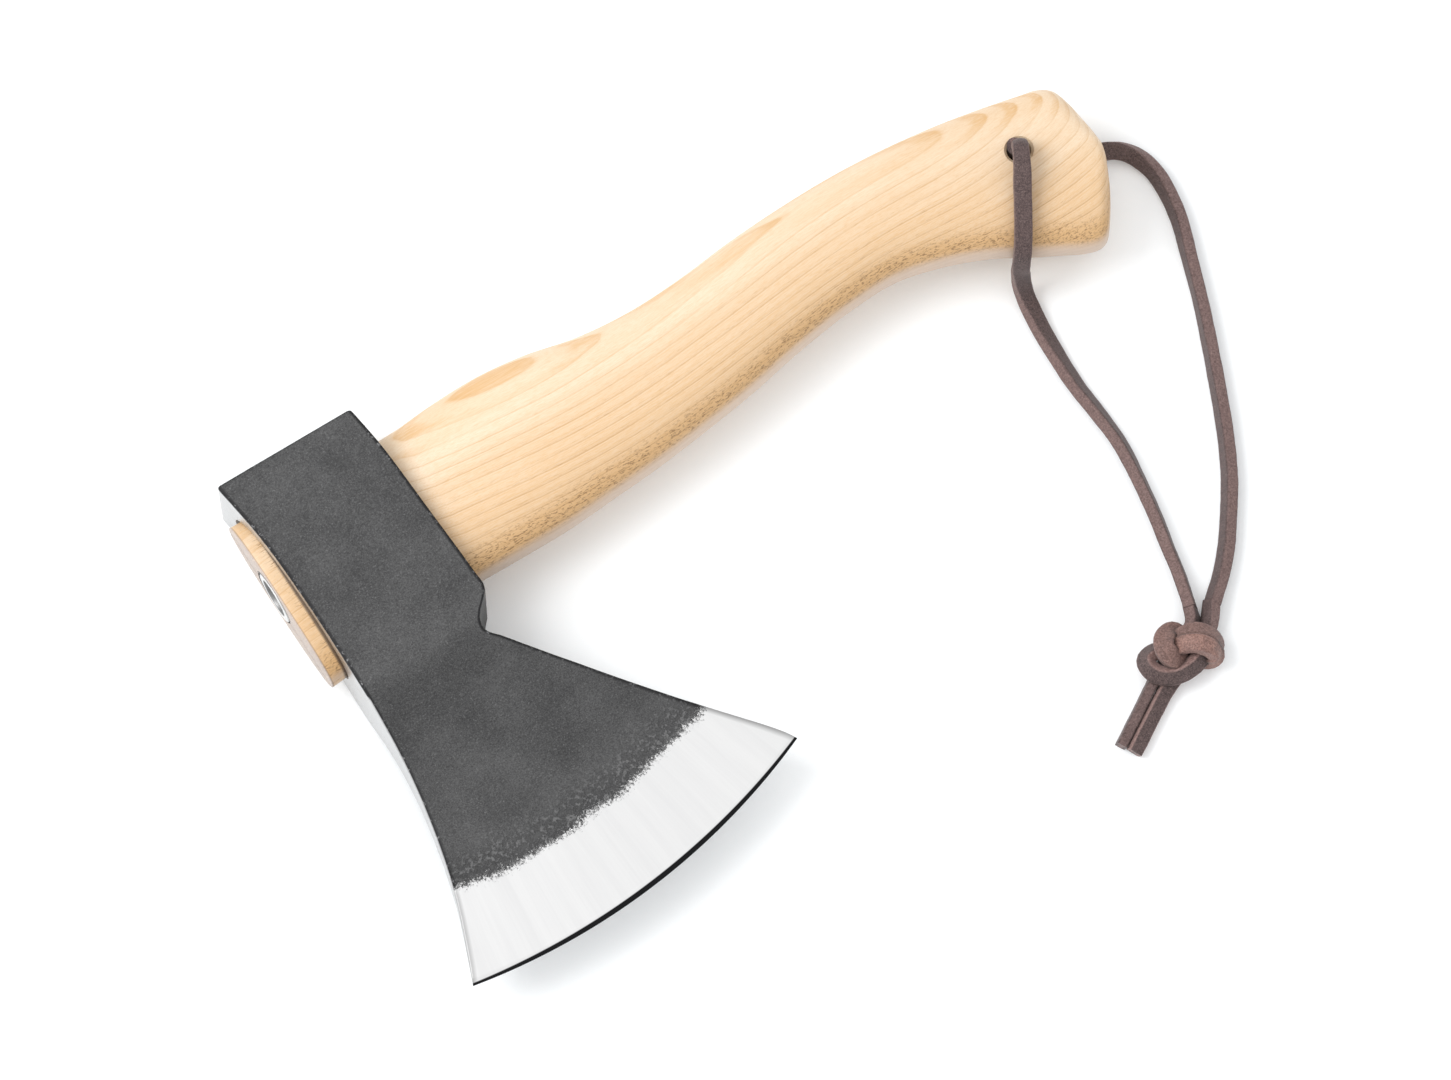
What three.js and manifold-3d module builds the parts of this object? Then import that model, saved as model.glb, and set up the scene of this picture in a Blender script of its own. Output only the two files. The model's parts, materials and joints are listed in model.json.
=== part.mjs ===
// Carving hatchet lying on its cheek, with a leather lanyard.
//
// Millimetres, +Z up. The hatchet rests on the plane z = 0. X runs along the handle, from the
// eye end of the head towards the butt. +Y is the poll side and -Y the cutting edge.
// Z is square to the cheeks. The origin is under the middle of the hatchet without its lace.

import * as THREE from 'three';
import { mergeVertices } from 'three/addons/utils/BufferGeometryUtils.js';
import Module from 'manifold-3d';

const wasm = await Module();
wasm.setup();

// ---------------------------------------------------------------- driving dimensions

// Gap kept between pieces that touch on the real tool.
const GAP = 0.3;

// How far a cutting solid stands out past the faces that it cuts.
const OVERCUT = 2;

// Head.
const HEAD_THICKNESS = 28;
const MID_Z = HEAD_THICKNESS / 2;
const POLL_Y = 66;
const POLL_LEFT_X = -105.2;
const POLL_RIGHT_X = -69.2;
const POLL_CORNER = 1.2;

// The cutting edge is an arc, and the bevel and the hollow of the blade are turned round its centre.
const EDGE_CENTRE = new THREE.Vector2(-85.6, 97.2);
const EDGE_RADIUS = 163.2;
const BEVEL_LENGTH = 21.5;
const BEVEL_HALF_THICKNESS = 4.3;
const MICRO_BEVEL = 1.4;

// Eye: the oval that the handle fills. It widens towards the eye end.
const EYE_FRONT = { x: -105, centreY: 36.8, halfLength: 22.7, halfHeight: 9 };
const EYE_BACK = { x: -63, centreY: 38.6, halfLength: 20.8, halfHeight: 8.8 };
const OVAL_POWER = 2.5;
const OVAL_SIDES = 36;
const FIT = GAP + 0.1;

// The tongue fills the eye up to TONGUE_BACK_X. The eye is cut from OUTSIDE_X to BEHIND_EYE_X.
const TONGUE_BACK_X = -66.5;
const OUTSIDE_X = -115;
const BEHIND_EYE_X = -50;
const TONGUE_END = [[-107, 75], [-105.1, 0]];

// Wooden wedge in the kerf of the tongue, and the steel ring driven across it.
const WEDGE_TIP_X = -80;
const WEDGE_END_X = -106;
const WEDGE_TIP_THICKNESS = 0.8;
const WEDGE_END_THICKNESS = 3.4;
const RING_Y = 39.6;
const RING_END_X = -106.2;
const RING_DEPTH = 10;
const RING_OUTER_RADIUS = 6.5;
const RING_WALL = 1.9;
const RING_DRAFT = 0.5;
const CORE_RECESS = 1.6;

// Lanyard hole through the butt.
const HOLE = new THREE.Vector2(96.8, 39.3);
const HOLE_RADIUS = 2.9;
const HOLE_CHAMFER = 1.2;
const BUTT_HALF_THICKNESS = 10;

// Leather lace.
const LACE_DIAMETER = 3.2;
const LACE_Z = 2.1;
const LACE_SIDES = 8;
const LACE_STEP = 5.6;

// ---------------------------------------------------------------- outlines and routes

// Back of the head below the handle: lug, notch and the straight back of the beard.
const LUG = [[-67.5, 54.9], [-66, 35.4], [-64.8, 18.3], [-64.7, 13]];
const NOTCH = [[-67.7, 9.8], [-69.4, 7.5], [-69.8, 5], [-68.7, 3.3], [-67.3, 2.1]];
const BEARD = [[-57.7, -8.8], [-45.2, -23.6], [-35.7, -34.6], [-22.6, -48.8], [-20.1, -52.4]];

// Eye end of the head, from the toe of the edge up to the poll.
const TOE_LINE = [
  [-114.6, -63.7], [-107.5, -43.7], [-103.5, -25.9], [-101.5, -9.7], [-101.2, 10.4], [-101.7, 34.4],
  [-102.8, 50.6],
];

// Corners of the blank past the cutting edge, which the turned blade cuts away.
const PAST_EDGE = [[-17, -58.5], [-97, -76], [-116.8, -69.8]];

// Rungs across the handle: x and y on the poll side, x and y on the edge side, half thickness.
const HANDLE_RUNGS = [
  [-61.1, 59.1, -61.5, 18.1, 9.4],
  [-50.3, 60, -50.6, 18, 9.9],
  [-38.5, 60.2, -38.7, 18.1, 10.2],
  [-26.7, 58.9, -26.8, 19, 10.3],
  [-14, 56.2, -14, 20, 10.2],
  [-0.3, 55.1, -0.3, 21.7, 10.1],
  [14.2, 55.8, 14.4, 23.9, 10],
  [28.7, 57.4, 29, 26.8, 9.9],
  [43.2, 58.3, 43.5, 28.9, 9.8],
  [57.6, 58.5, 57, 29.4, 9.8],
  [71, 57.8, 68.6, 26.8, 9.9],
  [83.5, 56.4, 78.8, 22.9, 10],
  [94.9, 54.5, 87, 18.3, 10],
  [104.5, 52.5, 94.6, 14.3, 10],
  [109.3, 51.4, 98.2, 12.4, 10],
  [112.2, 49.4, 101.8, 11.3, 10],
  [113.6, 45.6, 104.5, 12, 10],
  [114.3, 41.2, 107.2, 15.2, 9.9],
  [114.8, 36.5, 110.8, 21, 9.4],
  [114.9, 33, 113.4, 26.6, 8.2],
];

// The lace leaves the top of the hole, lies over the edge side of the butt and runs to the knot.
const NEAR_LEG = [
  [96.8, 39.3, 24.8], [96.9, 39.1, 27.4], [96.1, 37.5, 29.2], [94.3, 34, 28.5], [92, 30.1, 27],
  [89.6, 25.9, 25.6], [87.1, 21.7, 23.7], [85.1, 18.6, 20.6], [84, 17.2, 16], [83.6, 16.6, 10.5],
  [83.2, 15.3, 6], [82.8, 12.8, 3], [82.4, 9.3, 2.2], [81.9, 4.6, 2.1], [81.6, -2.6, 2.1],
  [81.6, -11.3, 2.1], [82.4, -20.1, 2.1], [82.9, -28.8, 2.1], [82, -38.6, 2.1], [80.5, -48.9, 2.1],
  [79.1, -55.9, 2.1], [78, -62.3, 2.1], [76.6, -67.9, 2.4], [75.6, -71.5, 3.2],
];

// The other leg passes under the butt, leaves it at the end and curves round to the knot.
const FAR_LEG = [
  [96.8, 39.3, 2.1], [101.2, 38.5, 2.1], [106, 37.4, 2.1], [111.3, 35.9, 2.1], [116.9, 33.9, 2.1],
  [120.6, 31.9, 2.1], [123.2, 28.6, 2.1], [124.8, 23.7, 2.1], [124.9, 18, 2.1], [123.8, 10.7, 2.1],
  [120.7, 0.8, 2.1], [117.1, -10.1, 2.1], [112.7, -21.6, 2.1], [108.4, -32.2, 2.1], [104.6, -40.9, 2.1],
  [100.1, -49.5, 2.1], [95.2, -56.9, 2.1], [90.9, -62.8, 2.1], [86.4, -67.8, 2.2], [82.6, -71.2, 2.6],
  [80.4, -73.2, 3.2],
];

const KNOT_CENTRE = new THREE.Vector3(69.7, -80.5, 4.5);
const KNOT_HALF = new THREE.Vector3(10.5, 7.6, 4.3);
const TAILS = [
  { name: 'lace_tail_a', route: [[58.1, -82.1, 2], [52, -86, 2], [44.5, -90.7, 2]] },
  { name: 'lace_tail_b', route: [[60.7, -84.6, 2], [53.9, -88.8, 2], [46.3, -93.6, 2]] },
];

// ---------------------------------------------------------------- helpers

const point3 = ([x, y, z]) => new THREE.Vector3(x, y, z);
const point2 = ([x, y]) => new THREE.Vector2(x, y);

// Value of a linear run between two points of it.
function between(x, x0, value0, x1, value1) {
  return value0 + ((value1 - value0) * (x - x0)) / (x1 - x0);
}

// Six times the volume inside triangles of an indexed mesh, negative where its faces point in.
function signedVolume(positions, index) {
  const corner = (i) => new THREE.Vector3().fromArray(positions, 3 * index[i]);
  let sum = 0;
  for (let i = 0; i < index.length; i += 3) {
    sum += corner(i).dot(corner(i + 1).cross(corner(i + 2)));
  }
  return sum;
}

// A geometry as a manifold solid: shared vertices merged, collapsed triangles dropped, and
// every face turned outwards.
function solidOf(geometry) {
  const bare = geometry.clone();
  bare.deleteAttribute('normal');
  bare.deleteAttribute('uv');
  const merged = mergeVertices(bare, 1e-4);
  const index = Array.from(merged.index.array);
  const kept = [];
  for (let i = 0; i < index.length; i += 3) {
    const [a, b, c] = index.slice(i, i + 3);
    if (a !== b && b !== c && c !== a) kept.push(a, b, c);
  }
  const positions = new Float32Array(merged.attributes.position.array);
  if (signedVolume(positions, kept) < 0) kept.reverse();
  const mesh = new wasm.Mesh({
    numProp: 3,
    vertProperties: positions,
    triVerts: new Uint32Array(kept),
  });
  return new wasm.Manifold(mesh);
}

function geometryOf(solid) {
  const mesh = solid.getMesh();
  const geometry = new THREE.BufferGeometry();
  geometry.setAttribute('position', new THREE.BufferAttribute(new Float32Array(mesh.vertProperties), 3));
  geometry.setIndex(new THREE.BufferAttribute(new Uint32Array(mesh.triVerts), 1));
  return geometry;
}

// A closed skin over rings of equal length, with a flat fan at each end.
function loft(rings) {
  const sides = rings[0].length;
  const positions = [];
  const index = [];
  for (const ring of rings) {
    for (const p of ring) positions.push(p.x, p.y, p.z);
  }
  for (let r = 0; r < rings.length - 1; r += 1) {
    for (let s = 0; s < sides; s += 1) {
      const a = r * sides + s;
      const b = r * sides + ((s + 1) % sides);
      index.push(a, b, a + sides, b, b + sides, a + sides);
    }
  }
  for (const [ring, first, turn] of [[rings[0], 0, 1], [rings.at(-1), (rings.length - 1) * sides, -1]]) {
    const middle = ring.reduce((sum, p) => sum.add(p), new THREE.Vector3()).divideScalar(sides);
    const hub = positions.length / 3;
    positions.push(middle.x, middle.y, middle.z);
    for (let s = 0; s < sides; s += 1) {
      const a = first + s;
      const b = first + ((s + 1) % sides);
      if (turn > 0) index.push(hub, b, a);
      else index.push(hub, a, b);
    }
  }
  const geometry = new THREE.BufferGeometry();
  geometry.setAttribute('position', new THREE.Float32BufferAttribute(positions, 3));
  geometry.setIndex(index);
  return geometry;
}

// A rounded oval across the line from one side point to the other, upright in Z.
function oval(high, low, halfHeight) {
  const ring = [];
  for (let s = 0; s < OVAL_SIDES; s += 1) {
    const angle = (2 * Math.PI * s) / OVAL_SIDES;
    const across = Math.sign(Math.cos(angle)) * Math.abs(Math.cos(angle)) ** (2 / OVAL_POWER);
    const up = Math.sign(Math.sin(angle)) * Math.abs(Math.sin(angle)) ** (2 / OVAL_POWER);
    const x = (high.x + low.x) / 2 + (across * (high.x - low.x)) / 2;
    const y = (high.y + low.y) / 2 + (across * (high.y - low.y)) / 2;
    ring.push(new THREE.Vector3(x, y, MID_Z + up * halfHeight));
  }
  return ring;
}

// The oval of the eye at one x, made smaller all round by shrink.
function eyeRing(x, shrink) {
  const at = (key) => between(x, EYE_FRONT.x, EYE_FRONT[key], EYE_BACK.x, EYE_BACK[key]);
  const half = at('halfLength') - shrink;
  const high = new THREE.Vector2(x, at('centreY') + half);
  const low = new THREE.Vector2(x, at('centreY') - half);
  return oval(high, low, at('halfHeight') - shrink);
}

// A solid turned round a vertical axis at (x, y), from a profile of [radius, z].
function turnedUpright(profile, x, y, segments) {
  const geometry = new THREE.LatheGeometry(profile.map(point2), segments);
  geometry.rotateX(Math.PI / 2);
  geometry.translate(x, y, 0);
  return geometry;
}

// A solid turned round the line y = RING_Y, z = MID_Z, from a profile of [radius, x].
function turnedAlongX(profile, segments) {
  const geometry = new THREE.LatheGeometry(profile.map(point2), segments);
  geometry.rotateZ(-Math.PI / 2);
  geometry.translate(0, RING_Y, MID_Z);
  return geometry;
}

// ---------------------------------------------------------------- head

// Half of the blade's thickness against the distance from the centre of the edge's arc.
function bladeProfile() {
  const bevel = EDGE_RADIUS - BEVEL_LENGTH;
  const top = [
    [0, MID_Z], [91, MID_Z], [93.5, 13.3], [97, 11.7], [101, 10.1], [108, 8.3], [118, 6.6], [130, 5.3],
    [bevel, BEVEL_HALF_THICKNESS], [EDGE_RADIUS - MICRO_BEVEL, 0.7], [EDGE_RADIUS, 0.15],
  ];
  const upper = top.map(([radius, half]) => [radius, MID_Z + half]);
  const lower = top.map(([radius, half]) => [radius, MID_Z - half]).reverse();
  return [...upper, ...lower];
}

function headOutline() {
  const outline = new THREE.Shape();
  outline.moveTo(POLL_LEFT_X, POLL_Y);
  outline.lineTo(POLL_RIGHT_X - POLL_CORNER, POLL_Y);
  outline.quadraticCurveTo(POLL_RIGHT_X, POLL_Y, POLL_RIGHT_X + 0.2, POLL_Y - POLL_CORNER);
  outline.splineThru(LUG.map(point2));
  outline.splineThru(NOTCH.map(point2));
  outline.splineThru(BEARD.map(point2));
  for (const corner of [...PAST_EDGE, TOE_LINE[0]]) outline.lineTo(...corner);
  outline.splineThru(TOE_LINE.slice(1).map(point2));
  outline.lineTo(POLL_LEFT_X, POLL_Y);
  return outline;
}

function axeHead() {
  const slab = new THREE.ExtrudeGeometry(headOutline(), {
    depth: HEAD_THICKNESS + 2 * OVERCUT,
    bevelEnabled: false,
    curveSegments: 3,
  });
  slab.translate(0, 0, -OVERCUT);
  const blade = turnedUpright(bladeProfile(), EDGE_CENTRE.x, EDGE_CENTRE.y, 180);
  const eye = loft([eyeRing(OUTSIDE_X, 0), eyeRing(BEHIND_EYE_X, 0)]);
  const body = solidOf(slab).intersect(solidOf(blade));
  return geometryOf(body.subtract(solidOf(eye)));
}

// ---------------------------------------------------------------- wood and wedges

// Kerf or wedge: a tapered plate on the middle plane, made larger all round by grow.
function wedgePlate(endX, grow) {
  const thin = WEDGE_TIP_THICKNESS / 2 + grow;
  const thick = between(endX, WEDGE_TIP_X, WEDGE_TIP_THICKNESS, WEDGE_END_X, WEDGE_END_THICKNESS) / 2 + grow;
  const tip = WEDGE_TIP_X + grow;
  const side = new THREE.Shape([
    new THREE.Vector2(endX, MID_Z - thick),
    new THREE.Vector2(tip, MID_Z - thin),
    new THREE.Vector2(tip, MID_Z + thin),
    new THREE.Vector2(endX, MID_Z + thick),
  ]);
  const plate = new THREE.ExtrudeGeometry(side, { depth: 80, bevelEnabled: false });
  plate.rotateX(Math.PI / 2);
  plate.translate(0, 80, 0);
  return plate;
}

// A block that cuts the tongue and the wedge off on one slanted end plane.
function endTrim() {
  const plan = [...TONGUE_END, [140, 0], [140, 75]];
  return new THREE.ExtrudeGeometry(new THREE.Shape(plan.map(point2)), { depth: 40, bevelEnabled: false });
}

// The channel that the ring cuts, with the sunk face of the wood inside it.
function ringChannel() {
  const end = RING_END_X - OVERCUT;
  const innerRadius = RING_OUTER_RADIUS - RING_WALL - GAP;
  const bottom = RING_END_X + RING_DEPTH + GAP;
  const profile = [
    [0, end], [RING_OUTER_RADIUS + GAP, end], [RING_OUTER_RADIUS + GAP, RING_END_X],
    [RING_OUTER_RADIUS + GAP - RING_DRAFT, bottom], [innerRadius, bottom],
    [innerRadius, RING_END_X + CORE_RECESS], [0, RING_END_X + CORE_RECESS],
  ];
  return turnedAlongX(profile, 32);
}

// The bore for the lace, with a chamfer at both mouths.
function lanyardBore() {
  const [bottom, top] = [MID_Z - BUTT_HALF_THICKNESS, MID_Z + BUTT_HALF_THICKNESS];
  const mouth = HOLE_RADIUS + HOLE_CHAMFER + OVERCUT;
  const profile = [
    [0, bottom - OVERCUT], [mouth, bottom - OVERCUT], [HOLE_RADIUS, bottom + HOLE_CHAMFER],
    [HOLE_RADIUS, top - HOLE_CHAMFER], [mouth, top + OVERCUT], [0, top + OVERCUT],
  ];
  return turnedUpright(profile, HOLE.x, HOLE.y, 24);
}

function handle() {
  const high = new THREE.CatmullRomCurve3(HANDLE_RUNGS.map(([x, y, , , half]) => point3([x, y, half])));
  const low = new THREE.CatmullRomCurve3(HANDLE_RUNGS.map(([, , x, y, half]) => point3([x, y, half])));
  for (const curve of [high, low]) curve.curveType = 'catmullrom';
  const rings = [eyeRing(OUTSIDE_X, FIT), eyeRing(TONGUE_BACK_X, FIT)];
  const steps = (HANDLE_RUNGS.length - 1) * 2;
  for (let i = 0; i <= steps; i += 1) {
    const a = high.getPoint(i / steps);
    const b = low.getPoint(i / steps);
    rings.push(oval(a, b, a.z));
  }
  const haft = solidOf(loft(rings)).intersect(solidOf(endTrim()));
  return [wedgePlate(OUTSIDE_X, GAP), lanyardBore(), ringChannel()]
    .reduce((wood, cutter) => wood.subtract(solidOf(cutter)), haft);
}

function woodenWedge() {
  const inEye = solidOf(loft([eyeRing(OUTSIDE_X, FIT), eyeRing(TONGUE_BACK_X, FIT)]));
  const plate = solidOf(wedgePlate(OUTSIDE_X, 0)).intersect(inEye).intersect(solidOf(endTrim()));
  return geometryOf(plate.subtract(solidOf(ringChannel())));
}

// A steel ring with a slight draft and a sharp leading end.
function ringWedge() {
  const inner = RING_OUTER_RADIUS - RING_WALL;
  const sharp = RING_OUTER_RADIUS - RING_DRAFT;
  const profile = [
    [inner, RING_END_X], [RING_OUTER_RADIUS, RING_END_X], [sharp, RING_END_X + RING_DEPTH],
    [sharp - 0.5, RING_END_X + RING_DEPTH], [inner, RING_END_X + 5], [inner, RING_END_X],
  ];
  return geometryOf(solidOf(turnedAlongX(profile, 32)));
}

// ---------------------------------------------------------------- lace

// A round cord with flat sides along a smooth curve through the points of a route.
function laceTube(route) {
  const curve = new THREE.CatmullRomCurve3(route.map(point3), false, 'centripetal');
  const section = new THREE.Shape();
  for (let s = 0; s < LACE_SIDES; s += 1) {
    const angle = (2 * Math.PI * (s + 0.5)) / LACE_SIDES;
    const x = (LACE_DIAMETER / 2) * Math.cos(angle);
    const y = (LACE_DIAMETER / 2) * Math.sin(angle);
    if (s === 0) section.moveTo(x, y);
    else section.lineTo(x, y);
  }
  section.closePath();
  const tube = new THREE.ExtrudeGeometry(section, {
    steps: Math.max(2, Math.ceil(curve.getLength() / LACE_STEP)),
    extrudePath: curve,
    bevelEnabled: false,
  });
  return geometryOf(solidOf(tube));
}

function laceInHole() {
  const top = NEAR_LEG[0][2] - GAP;
  const bottom = LACE_Z + LACE_DIAMETER / 2 + GAP;
  const stretch = new THREE.CylinderGeometry(LACE_DIAMETER / 2, LACE_DIAMETER / 2, top - bottom, LACE_SIDES);
  stretch.rotateX(Math.PI / 2);
  stretch.translate(HOLE.x, HOLE.y, (top + bottom) / 2);
  return geometryOf(solidOf(stretch));
}

function laceKnot() {
  const knot = new THREE.SphereGeometry(1, 20, 12);
  knot.rotateX(Math.PI / 2);
  knot.scale(KNOT_HALF.x, KNOT_HALF.y, KNOT_HALF.z);
  knot.translate(KNOT_CENTRE.x, KNOT_CENTRE.y, KNOT_CENTRE.z);
  return geometryOf(solidOf(knot));
}

// ---------------------------------------------------------------- assembly

function finish(color, roughness, metalness) {
  return new THREE.MeshStandardMaterial({ color, roughness, metalness });
}

function piece(name, geometry, material) {
  const mesh = new THREE.Mesh(geometry, material);
  mesh.name = name;
  return mesh;
}

const hatchet = new THREE.Group();
hatchet.add(piece('axe_head', axeHead(), finish('#4b4c4e', 0.5, 0.85)));
hatchet.add(piece('handle', geometryOf(handle()), finish('#e6bd8a', 0.5, 0)));
hatchet.add(piece('wooden_wedge', woodenWedge(), finish('#dcb68a', 0.6, 0)));
hatchet.add(piece('ring_wedge', ringWedge(), finish('#b4b5b2', 0.35, 0.9)));

const lanyard = new THREE.Group();
lanyard.add(piece('lace_in_hole', laceInHole(), finish('#4a3734', 0.8, 0)));
lanyard.add(piece('lace_near_leg', laceTube(NEAR_LEG), finish('#4f3b37', 0.8, 0)));
lanyard.add(piece('lace_far_leg', laceTube(FAR_LEG), finish('#4f3b37', 0.8, 0)));
lanyard.add(piece('lace_knot', laceKnot(), finish('#5c4540', 0.75, 0)));
for (const { name, route } of TAILS) {
  lanyard.add(piece(name, laceTube(route), finish('#4a3734', 0.8, 0)));
}
hatchet.add(lanyard);

export default hatchet;
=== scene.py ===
"""Looks of the carving hatchet: forged head, hardwood handle, wedges and a knotted leather lace.

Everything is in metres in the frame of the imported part: +X along the handle towards the butt,
+Y towards the poll, +Z up and square to the cheeks.
"""

import json
import math

import bmesh
import bpy
import numpy as np
from mathutils import Matrix, Vector, noise
from mathutils.kdtree import KDTree


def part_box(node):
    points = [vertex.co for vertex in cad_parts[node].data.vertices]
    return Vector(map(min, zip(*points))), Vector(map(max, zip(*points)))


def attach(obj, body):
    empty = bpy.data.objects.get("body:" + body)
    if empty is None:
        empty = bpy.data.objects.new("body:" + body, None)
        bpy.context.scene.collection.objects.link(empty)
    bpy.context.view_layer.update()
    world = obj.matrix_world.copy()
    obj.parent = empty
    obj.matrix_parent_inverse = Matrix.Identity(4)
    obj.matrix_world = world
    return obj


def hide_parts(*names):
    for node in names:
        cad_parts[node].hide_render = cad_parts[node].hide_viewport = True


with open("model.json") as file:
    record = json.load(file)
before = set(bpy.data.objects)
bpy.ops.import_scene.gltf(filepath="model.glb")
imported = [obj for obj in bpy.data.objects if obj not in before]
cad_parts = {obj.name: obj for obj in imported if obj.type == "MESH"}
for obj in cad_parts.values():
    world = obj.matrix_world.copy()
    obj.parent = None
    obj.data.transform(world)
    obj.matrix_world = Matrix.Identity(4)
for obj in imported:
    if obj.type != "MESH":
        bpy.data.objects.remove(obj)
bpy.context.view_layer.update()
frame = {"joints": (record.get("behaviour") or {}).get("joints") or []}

MM = 0.001

# -------- places taken from the frame

head_low, head_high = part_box("axe_head")
knot_low, knot_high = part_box("lace_knot")
ring_low, ring_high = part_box("ring_wedge")
MID_Z = (head_low.z + head_high.z) / 2
POLL_Y = head_high.y
CHEEK_HALF = (head_high.z - head_low.z) / 2
HOLE_X, HOLE_Y = frame["joints"][0]["pos_m"][:2]
KNOT_X, KNOT_Y, KNOT_Z = (knot_low + knot_high) / 2
RING_Y = (ring_low.y + ring_high.y) / 2
RING_END_X = ring_low.x
RING_DEPTH = ring_high.x - ring_low.x
RING_RADIUS = (ring_high.y - ring_low.y) / 2

# -------- shape of the head

# The cutting edge is an arc. The bevel and the hollow of the blade are turned round its centre.
EDGE_CENTRE = np.array([-85.6, 97.2]) * MM
EDGE_RADIUS = 163.2 * MM
BEVEL_RADIUS = 141.7 * MM
MICRO_BEVEL_RADIUS = 161.8 * MM
CHEEK_RADIUS = 91 * MM

# Distance from that centre, and half of the blade's thickness there.
BLADE_PROFILE = np.array([
    [91, 14], [93.5, 13.3], [97, 11.7], [101, 10.1], [108, 8.3], [118, 6.6], [130, 5.3], [141.7, 4.3],
    [161.8, 0.7], [163.2, 0.15],
]) * MM

# Back of the head from the poll down the lug and the notch to the heel.
BACK_OUTLINE = np.array([
    [-69.2, 66], [-67.5, 54.9], [-66, 35.4], [-64.8, 18.3], [-64.7, 13], [-67.7, 9.8], [-69.4, 7.5],
    [-69.8, 5], [-68.7, 3.3], [-67.3, 2.1], [-57.7, -8.8], [-45.2, -23.6], [-35.7, -34.6],
    [-22.6, -48.8], [-20.1, -52.4],
]) * MM

# Eye end of the head from the poll down to the toe.
FRONT_OUTLINE = np.array([
    [-105.2, 66], [-102.8, 50.6], [-101.7, 34.4], [-101.2, 10.4], [-101.5, -9.7], [-103.5, -25.9],
    [-107.5, -43.7], [-114.6, -63.7],
]) * MM

HEAD_CORNER = 0.55 * MM
POLL_CORNER = 0.8 * MM
# Forging dents of two sizes, which fade out over the last stretch before the bevel.
DENT_DEPTH = 0.12 * MM
DENT_SIZE = 11 * MM
SMALL_DENT_SIZE = 4.5 * MM
DENT_FADE = 6 * MM

# -------- shape of the handle

# The eye is an oval that widens towards the eye end: x, centre y, half length, half height.
EYE_FRONT = np.array([-105, 36.8, 22.7, 9.0]) * MM
EYE_BACK = np.array([-63, 38.6, 20.8, 8.8]) * MM
OVAL_POWER = 2.5
OVAL_SIDES = 96
EYE_FIT = 0.4 * MM

# Rungs across the handle: x and y on the poll side, x and y on the edge side, half thickness.
HANDLE_RUNGS = np.array([
    [-61.1, 59.1, -61.5, 18.1, 9.4], [-50.3, 60, -50.6, 18, 9.9], [-38.5, 60.2, -38.7, 18.1, 10.2],
    [-26.7, 58.9, -26.8, 19, 10.3], [-14, 56.2, -14, 20, 10.2], [-0.3, 55.1, -0.3, 21.7, 10.1],
    [14.2, 55.8, 14.4, 23.9, 10], [28.7, 57.4, 29, 26.8, 9.9], [43.2, 58.3, 43.5, 28.9, 9.8],
    [57.6, 58.5, 57, 29.4, 9.8], [71, 57.8, 68.6, 26.8, 9.9], [83.5, 56.4, 78.8, 22.9, 10],
    [94.9, 54.5, 87, 18.3, 10], [104.5, 52.5, 94.6, 14.3, 10], [109.3, 51.4, 98.2, 12.4, 10],
    [112.2, 49.4, 101.8, 11.3, 10], [113.6, 45.6, 104.5, 12, 10], [114.3, 41.2, 107.2, 15.2, 9.9],
    [114.8, 36.5, 110.8, 21, 9.4], [114.9, 33, 113.4, 26.6, 8.2],
]) * MM

# The tongue is cut off on a slanted plane: x at y = 75 mm and at y = 0.
TONGUE_END = np.array([[-107, 75], [-105.1, 0]]) * MM
TONGUE_BACK_X = -66.5 * MM
# Tools that cut the end of the tongue start here, clear of it.
OUTSIDE_X = -115 * MM
HOLE_RADIUS = 2.9 * MM
HOLE_CHAMFER = 0.7 * MM
BUTT_HALF = 10 * MM
GAP = 0.3 * MM

WEDGE_TIP_X = -80 * MM
WEDGE_TIP_HALF = 0.4 * MM
WEDGE_END_HALF = 1.7 * MM
WEDGE_END_X = -106 * MM
WEDGE_SUNK = 0.05 * MM
RING_SIDES = 96
RING_WALL = 1.9 * MM
RING_DRAFT = 0.5 * MM
CORE_RECESS = 1.6 * MM

# -------- routes of the lace

LACE_WIDTH = 4.2 * MM
LACE_THICKNESS = 2.9 * MM

CURVE_POINTS = 16

NEAR_LEG = [
    (0.0968, 0.0393, 0.0248), (0.0969, 0.0391, 0.0274), (0.0961, 0.0375, 0.0292),
    (0.0943, 0.0340, 0.0285), (0.0920, 0.0301, 0.0270), (0.0896, 0.0259, 0.0256),
    (0.0871, 0.0217, 0.0237), (0.0851, 0.0186, 0.0206), (0.0840, 0.0172, 0.0160),
    (0.0836, 0.0166, 0.0105), (0.0832, 0.0153, 0.0060), (0.0828, 0.0128, 0.0030),
    (0.0824, 0.0093, 0.0022), (0.0819, 0.0046, 0.0021), (0.0816, -0.0026, 0.0021),
    (0.0816, -0.0113, 0.0021), (0.0824, -0.0201, 0.0021), (0.0829, -0.0288, 0.0021),
    (0.0820, -0.0386, 0.0021), (0.0805, -0.0489, 0.0021), (0.0791, -0.0559, 0.0021),
    (0.0780, -0.0623, 0.0021), (0.0766, -0.0679, 0.0024), (0.0756, -0.0715, 0.0032),
]
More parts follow.
